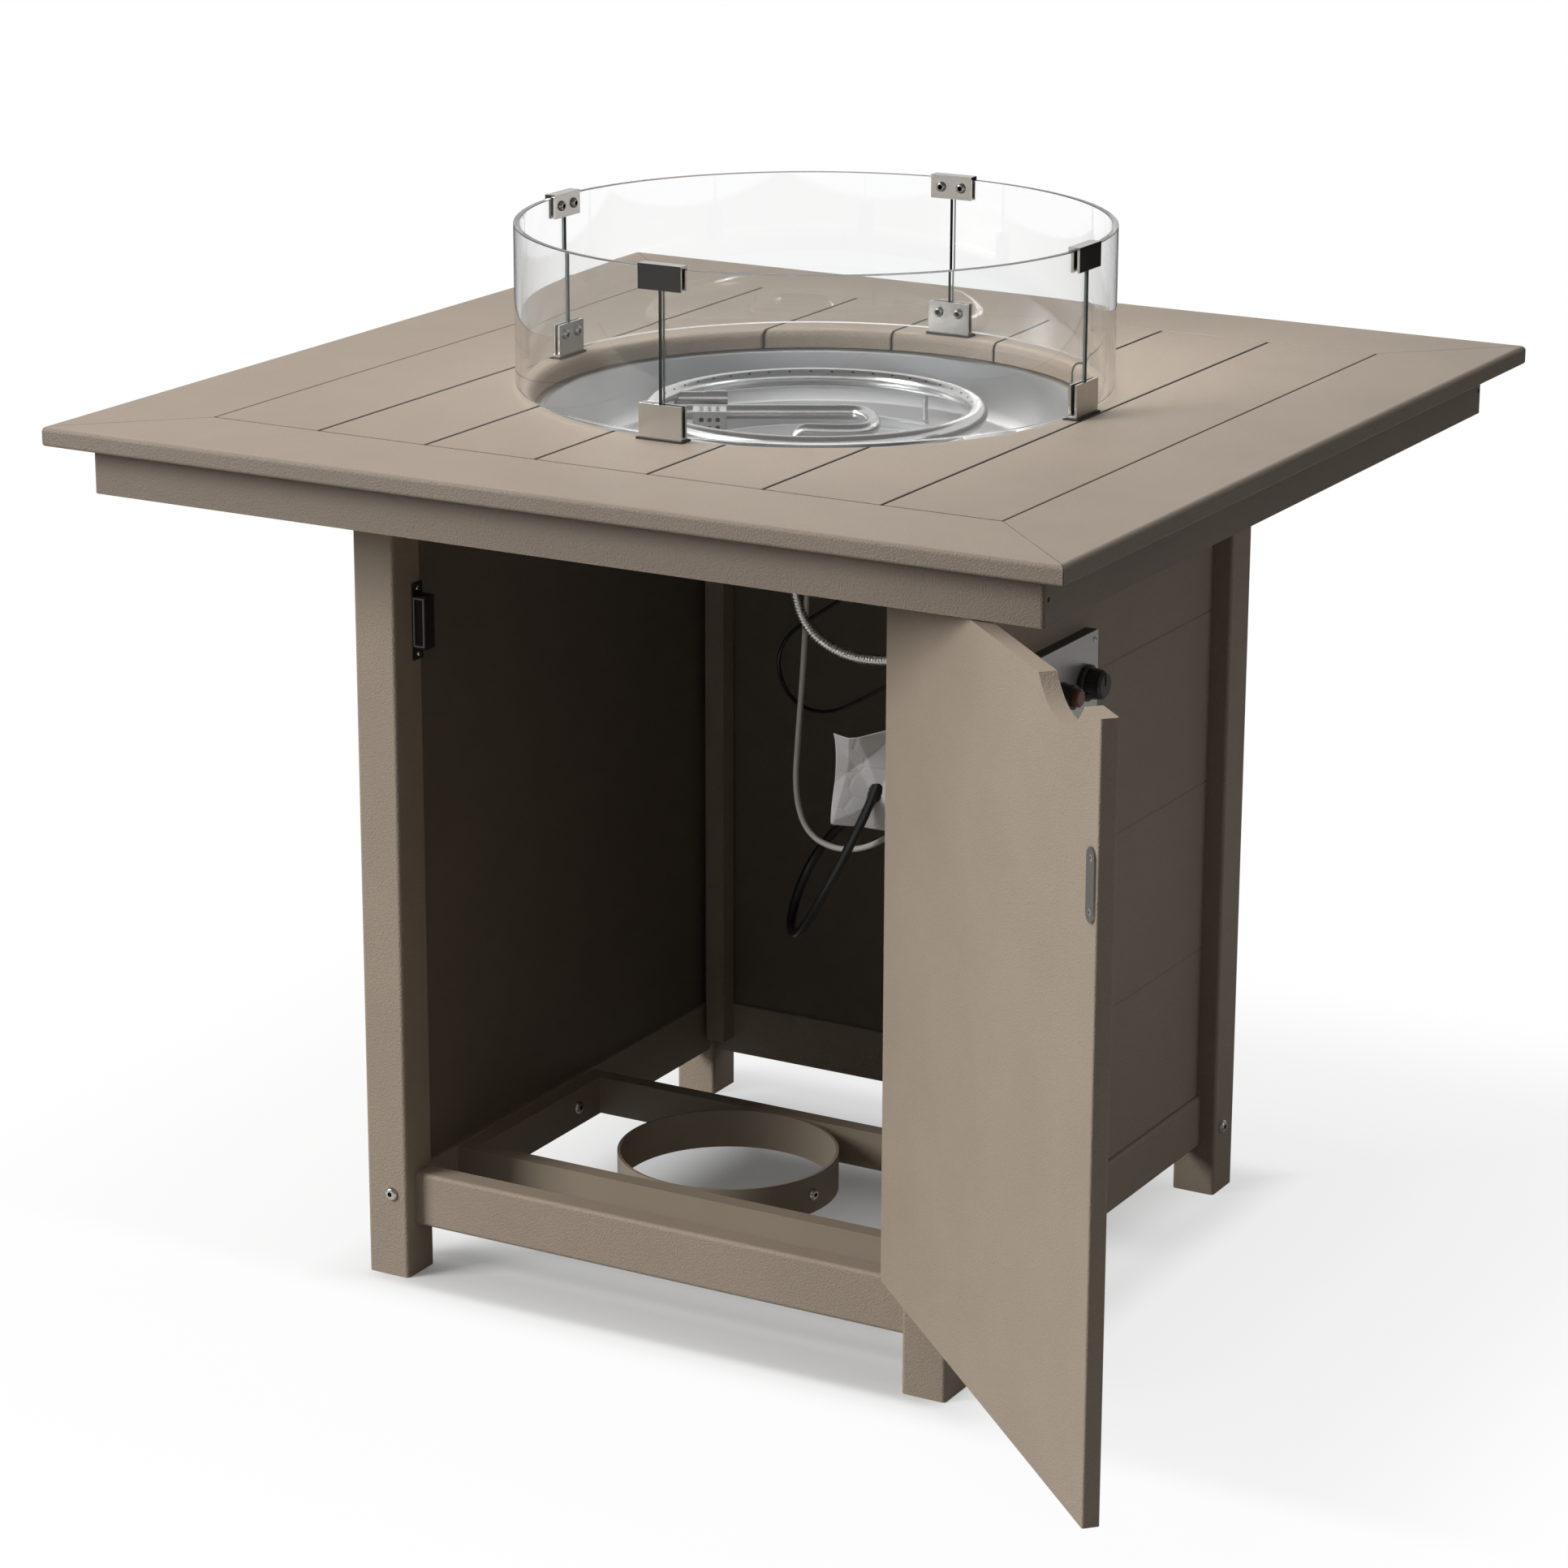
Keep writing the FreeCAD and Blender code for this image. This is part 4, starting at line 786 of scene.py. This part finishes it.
def lined_metal(tree, shader, place, stretch, detail, depth):
    """Give a shader fine lines, drawn out by a different scale along each axis."""
    drawn = tree.nodes.new("ShaderNodeVectorMath")
    drawn.operation = "MULTIPLY"
    drawn.inputs[1].default_value = stretch
    feed(tree, drawn.inputs[0], place)
    lines = drift_noise(tree, drawn.outputs["Vector"], 1.0, detail)
    raise_skin(tree, shader, lines, depth, 0.5)
    shader.inputs["Metallic"].default_value = 1.0
    return lines


def spun_steel(name, colour, roughness, depth, bowl_painted_light=1.0):
    """Stainless with fine satin lines round the Z axis, painted lighter low down: painted reflected
    light.
    """
    material, tree, shader = new_material(name)
    place = object_place(tree)
    spot = split(tree, place)
    flat = tree.nodes.new("ShaderNodeCombineXYZ")
    feed(tree, flat.inputs["X"], spot["X"])
    feed(tree, flat.inputs["Y"], spot["Y"])
    polar = tree.nodes.new("ShaderNodeCombineXYZ")
    feed(tree, polar.inputs["X"], distance(tree, flat.outputs["Vector"]))
    feed(tree, polar.inputs["Y"], spot["Z"])
    feed(tree, polar.inputs["Z"], reckon(tree, "ARCTAN2", spot["Y"], spot["X"]))
    lines = lined_metal(tree, shader, polar.outputs["Vector"], (2600.0, 2600.0, 1.2), 3.0, depth)
    tone = paint(tree, shader, place, colour, 5.0, 0.07)
    # Below the foot of the wall the colour is raised: painted light on the trough and bowl.
    low_painted_light = rescale(tree, spot["Z"], floor_ends, wall_starts, bowl_painted_light, 1.0)
    feed(tree, shader.inputs["Base Color"], dimmed(tree, tone.outputs["Colour"], low_painted_light))
    satin = rescale(tree, lines, 0.0, 1.0, roughness - 0.02, roughness + 0.03)
    feed(tree, shader.inputs["Roughness"], satin)
    return material


# The pan's trough and bowl are painted up to 2.4 times lighter: painted reflected light.
pan_steel = spun_steel("spun pan steel", (0.36, 0.365, 0.37), 0.33, 0.000004, 2.4)
bm = bmesh.new()
outline(bm, [(0.284, flange_height), (0.267, flange_height), (0.226, 0.8346),
             (0.208, trough_height), (0.150, trough_height), (0.142, bowl_height),
             (0.0, bowl_height)], 0.003, 5)
spun(bm, 160)
for face in bm.faces:
    if face.normal.z < 0:
        face.normal_flip()
bmesh.ops.translate(bm, verts=bm.verts, vec=(0, 0, -0.0004))
pan = mesh_object("spun_pan", bm, [pan_steel])
sheet = pan.modifiers.new("sheet", "SOLIDIFY")
sheet.thickness = pan_sheet
sheet.offset = -1.0
finish_piece(settle(pan), "base")
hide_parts("burner_pan")


# Ring burner. A stainless tube rolled into a ring on four short feet, with ports drilled along
# its upper inner side, and the feed and pilot tubes welded to it.

ring_steel = spun_steel("ring steel", (0.60, 0.60, 0.60), 0.22, 0.00002)
# The ports' walls and floors are near-black steel: painted shade in the drilled holes.
port_painted_shade = metal("port dark", (0.03, 0.03, 0.03), 0.6, 500.0, 0.00005)
tube_steel = metal("tube steel", (0.56, 0.56, 0.56), 0.27, 800.0, 0.00004, 0.1)
ring_height = 0.8585
ring_radius = 0.160
tube_radius = 0.0095
lean = math.radians(40)
ports = 45
feed_turn = math.radians(30)
port_radius = 0.0017
port_depth = 0.003
tube_sides = 24
steps = ports * 6
bm = bmesh.new()
bmesh.ops.create_circle(bm, segments=tube_sides, radius=tube_radius)
start = lean - math.pi / 2 + math.pi / tube_sides
tilt = Matrix.Rotation(math.pi / 2, 4, "X") @ Matrix.Rotation(start, 4, "Z")
bmesh.ops.transform(bm, verts=bm.verts, matrix=Matrix.Translation((ring_radius, 0, ring_height)) @ tilt)
spun(bm, steps)
drilled = []
for port in range(ports):
    angle = 2 * math.pi * (port * 6 + 0.5) / steps
    ahead = Vector((math.cos(angle), math.sin(angle), 0))
    inward = Vector((-ahead.x * math.sin(lean), -ahead.y * math.sin(lean), math.cos(lean)))
    spot = ahead * ring_radius + Vector((0, 0, ring_height)) + inward * tube_radius
    drilled.append(min(bm.faces, key=lambda face: (face.calc_center_median() - spot).length_squared))
bmesh.ops.inset_individual(bm, faces=drilled, thickness=0.0004)
for face in drilled:
    middle = face.calc_center_median()
    for vert in face.verts:
        vert.co = middle + (vert.co - middle).normalized() * port_radius
corners = [vert for face in drilled for vert in face.verts]
round_off(bm, corners, 0.0008, 2)
drilled = [face for face in bm.faces if face.is_valid and len(face.verts) > 8]
for face in bmesh.ops.extrude_discrete_faces(bm, faces=drilled)["faces"]:
    bmesh.ops.translate(bm, verts=face.verts[:], vec=face.normal * -port_depth)
    # The walls and floor of each port take the near-black steel: painted shade.
    for near in {near for vert in face.verts for near in vert.link_faces}:
        near.material_index = 1
ring = mesh_object("ported_ring", bm, [ring_steel, port_painted_shade], 50.0)
finish_piece(ring, "base")
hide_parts("burner_ring")
foot_radius = 0.0026
foot_length = 0.026
foot_middle = 0.8380
bm = bmesh.new()
for foot in range(4):
    angle = math.radians(75 + 90 * foot)
    spot = Vector((ring_radius * math.cos(angle), ring_radius * math.sin(angle), foot_middle))
    bmesh.ops.create_cone(bm, cap_ends=True, segments=20, radius1=foot_radius, radius2=foot_radius,
                          depth=foot_length, matrix=Matrix.Translation(spot))
finish_piece(mesh_object("ring_feet", bm, [tube_steel]), "base")
dress(["pilot_tube", "pilot_cage"], tube_steel)


def on_burner(along, across, height):
    """A point given in the feed tube's own axes, which are turned about the ring's middle."""
    return Matrix.Rotation(feed_turn, 3, "Z") @ Vector((along, across, height))


bent_tube = route("bent_feed", [on_burner(*point) for point in (
    (-0.151, 0.041, 0.848), (-0.080, 0.041, 0.848), (0.008, 0.041, 0.848), (0.057, 0.041, 0.848),
    (0.057, -0.048, 0.848), (0.010, -0.048, 0.848), (-0.019, -0.041, 0.848), (-0.019, -0.041, 0.812),
    (-0.019, -0.041, 0.781))], 0.0075)
bent_tube.data.materials.append(tube_steel)
finish_piece(bent_tube, "base")
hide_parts("feed_tube")
bm = bmesh.new()
bmesh.ops.create_cone(bm, cap_ends=True, segments=6, radius1=0.0127, radius2=0.0127, depth=0.016,
                      matrix=Matrix.Translation(on_burner(-0.019, -0.041, 0.788)))
round_off(bm, bm.edges[:], 0.0008, 2, "EDGES")
finish_piece(mesh_object("feed_nut", bm, [tube_steel]), "base")


# Control panel. A black housing over a window in the right wall, a grey face plate, the cast
# valve behind it, a fluted knob, and a push-button igniter with a red-brown cap.

housing_plastic = moulded("housing plastic", (0.03, 0.027, 0.025), 0.42, 1000.0, 0.0001)
plate_grey = metal("plate grey", (0.62, 0.59, 0.57), 0.38, 900.0, 0.00004)
valve_cast = metal("valve casting", (0.50, 0.41, 0.25), 0.38, 500.0, 0.0001, 0.15)
knob_olive = moulded("knob olive", (0.026, 0.025, 0.016), 0.38, 1000.0, 0.0001)
cap_brown = moulded("cap red-brown", (0.22, 0.075, 0.05), 0.26, 700.0, 0.00005)
dress(["control_housing", "igniter_body"], housing_plastic)
dress(["control_plate"], plate_grey)
dress(["gas_valve"], valve_cast)
dress(["gas_knob"], knob_olive)
dress(["igniter_button"], cap_brown)
plate_face = 0.3195
corners = [((plate_face, y, z), (1, 0, 0)) for y in (-0.022, -0.156) for z in (0.590, 0.674)]
panel_screws = copies(button_head(0.0025, 0.0012, 0.0010, 0.0008), corners)
finish_piece(mesh_object("panel_screws", panel_screws, bolt_metals), "base")


# Regulator. A cast gas regulator with a lip round its body and a ribbed hand wheel, painted grey.

regulator_paint = moulded("regulator paint", (0.24, 0.24, 0.23), 0.42, 500.0, 0.0003, 0.06)
dress(["regulator"], regulator_paint)


# Glass guard. Four bent panels of clear tempered glass with ground edges, which stand in a circle
# and touch nothing but their clips.

clear_glass, tree, shader = new_material("clear glass")
shader.inputs["Transmission Weight"].default_value = 1.0
shader.inputs["IOR"].default_value = 1.5
tint = paint(tree, shader, object_place(tree), (0.975, 0.98, 0.978), 3.0, 0.004)
smear = rescale(tree, tint.outputs["Mask"], 0.0, 1.0, 0.0, 0.012)
feed(tree, shader.inputs["Roughness"], smear)
shadow_ray = tree.nodes.new("ShaderNodeLightPath").outputs["Is Shadow Ray"]
clear = tree.nodes.new("ShaderNodeBsdfTransparent")
clear.inputs["Color"].default_value = (0.93, 0.95, 0.94, 1)
blend_surface(tree, shadow_ray, shader.outputs["BSDF"], clear.outputs["BSDF"])
# The ground end faces are a near-black green: the green is the glass's own, the darkness a painted
# reflection of dark surroundings.
ground_edge_painted_dark = moulded("ground glass edge", (0.05, 0.062, 0.058), 0.3, 600.0, 0.00005)
glass_inside = 0.287
glass_outside = 0.293
glass_foot = 0.889
glass_top = 1.046
quarter = math.pi / 2
gap = 0.0045 / glass_outside
bm = bmesh.new()
for panel in range(4):
    known = set(bm.verts)
    corners = [(glass_inside, glass_foot), (glass_outside, glass_foot),
               (glass_outside, glass_top), (glass_inside, glass_top)]
    face = bm.faces.new([bm.verts.new((reach, 0, height)) for reach, height in corners])
    fresh = [vert for vert in bm.verts if vert not in known]
    round_off(bm, fresh, 0.0009, 3)
    geometry = [vert for vert in bm.verts if vert not in known]
    section = [face for face in bm.faces if all(vert in geometry for vert in face.verts)]
    start = quarter * panel + gap / 2
    bmesh.ops.rotate(bm, verts=geometry, cent=(0, 0, 0), matrix=Matrix.Rotation(start, 3, "Z"))
    edges = list({edge for face in section for edge in face.edges})
    made = bmesh.ops.spin(bm, geom=geometry + edges + section, cent=(0, 0, 0), axis=(0, 0, 1),
                          angle=quarter - gap, steps=64)
    for face in section + [item for item in made["geom_last"] if isinstance(item, bmesh.types.BMFace)]:
        face.material_index = 1
bmesh.ops.recalc_face_normals(bm, faces=bm.faces)
glass = mesh_object("glass_guard", bm, [clear_glass, ground_edge_painted_dark], 40.0)
finish_piece(glass, "guard")
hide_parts("glass_panels")


# Guard clips. At each joint of the glass a folded stainless channel above and below, closed by an
# inner plate on two button screws, the lower one on a rubber pad.


def rubbed_plate(name, colour, roughness, along):
    """Stainless sheet with straight rubbed lines along one axis."""
    material, tree, shader = new_material(name)
    place = object_place(tree)
    lined_metal(tree, shader, place, along, 2.0, 0.00003)
    paint(tree, shader, place, colour, 20.0, 0.06)
    shader.inputs["Roughness"].default_value = roughness
    return material


clip_steel = rubbed_plate("clip steel", (0.47, 0.45, 0.415), 0.2, (1200.0, 1200.0, 60.0))
dress(["clip_plates"], clip_steel)
pad_rubber = moulded("pad rubber", (0.02, 0.018, 0.016), 0.6, 700.0, 0.0002)
dress(["clip_pads"], pad_rubber)
clip_reach = 0.28348
clip_heights = (0.9075, 1.037)
screw_offset = 0.0113
screws = []
for turn in range(4):
    facing = Vector((-math.cos(quarter * turn), -math.sin(quarter * turn), 0))
    aside = Vector((-facing.y, facing.x, 0))
    for height in clip_heights:
        for offset in (-screw_offset, screw_offset):
            screws.append((-facing * clip_reach + aside * offset + Vector((0, 0, height)), facing))
clip_bolts = metal("clip bolt steel", (0.34, 0.33, 0.32), 0.22, 900.0, 0.00003)
clip_bolt_metals = [clip_bolts, socket_painted_shade]
clip_heads = copies(button_head(0.0052, 0.0030, 0.0028, 0.0020), screws)
clip_screws = mesh_object("clip_screws", clip_heads, clip_bolt_metals)
finish_piece(clip_screws, "guard")
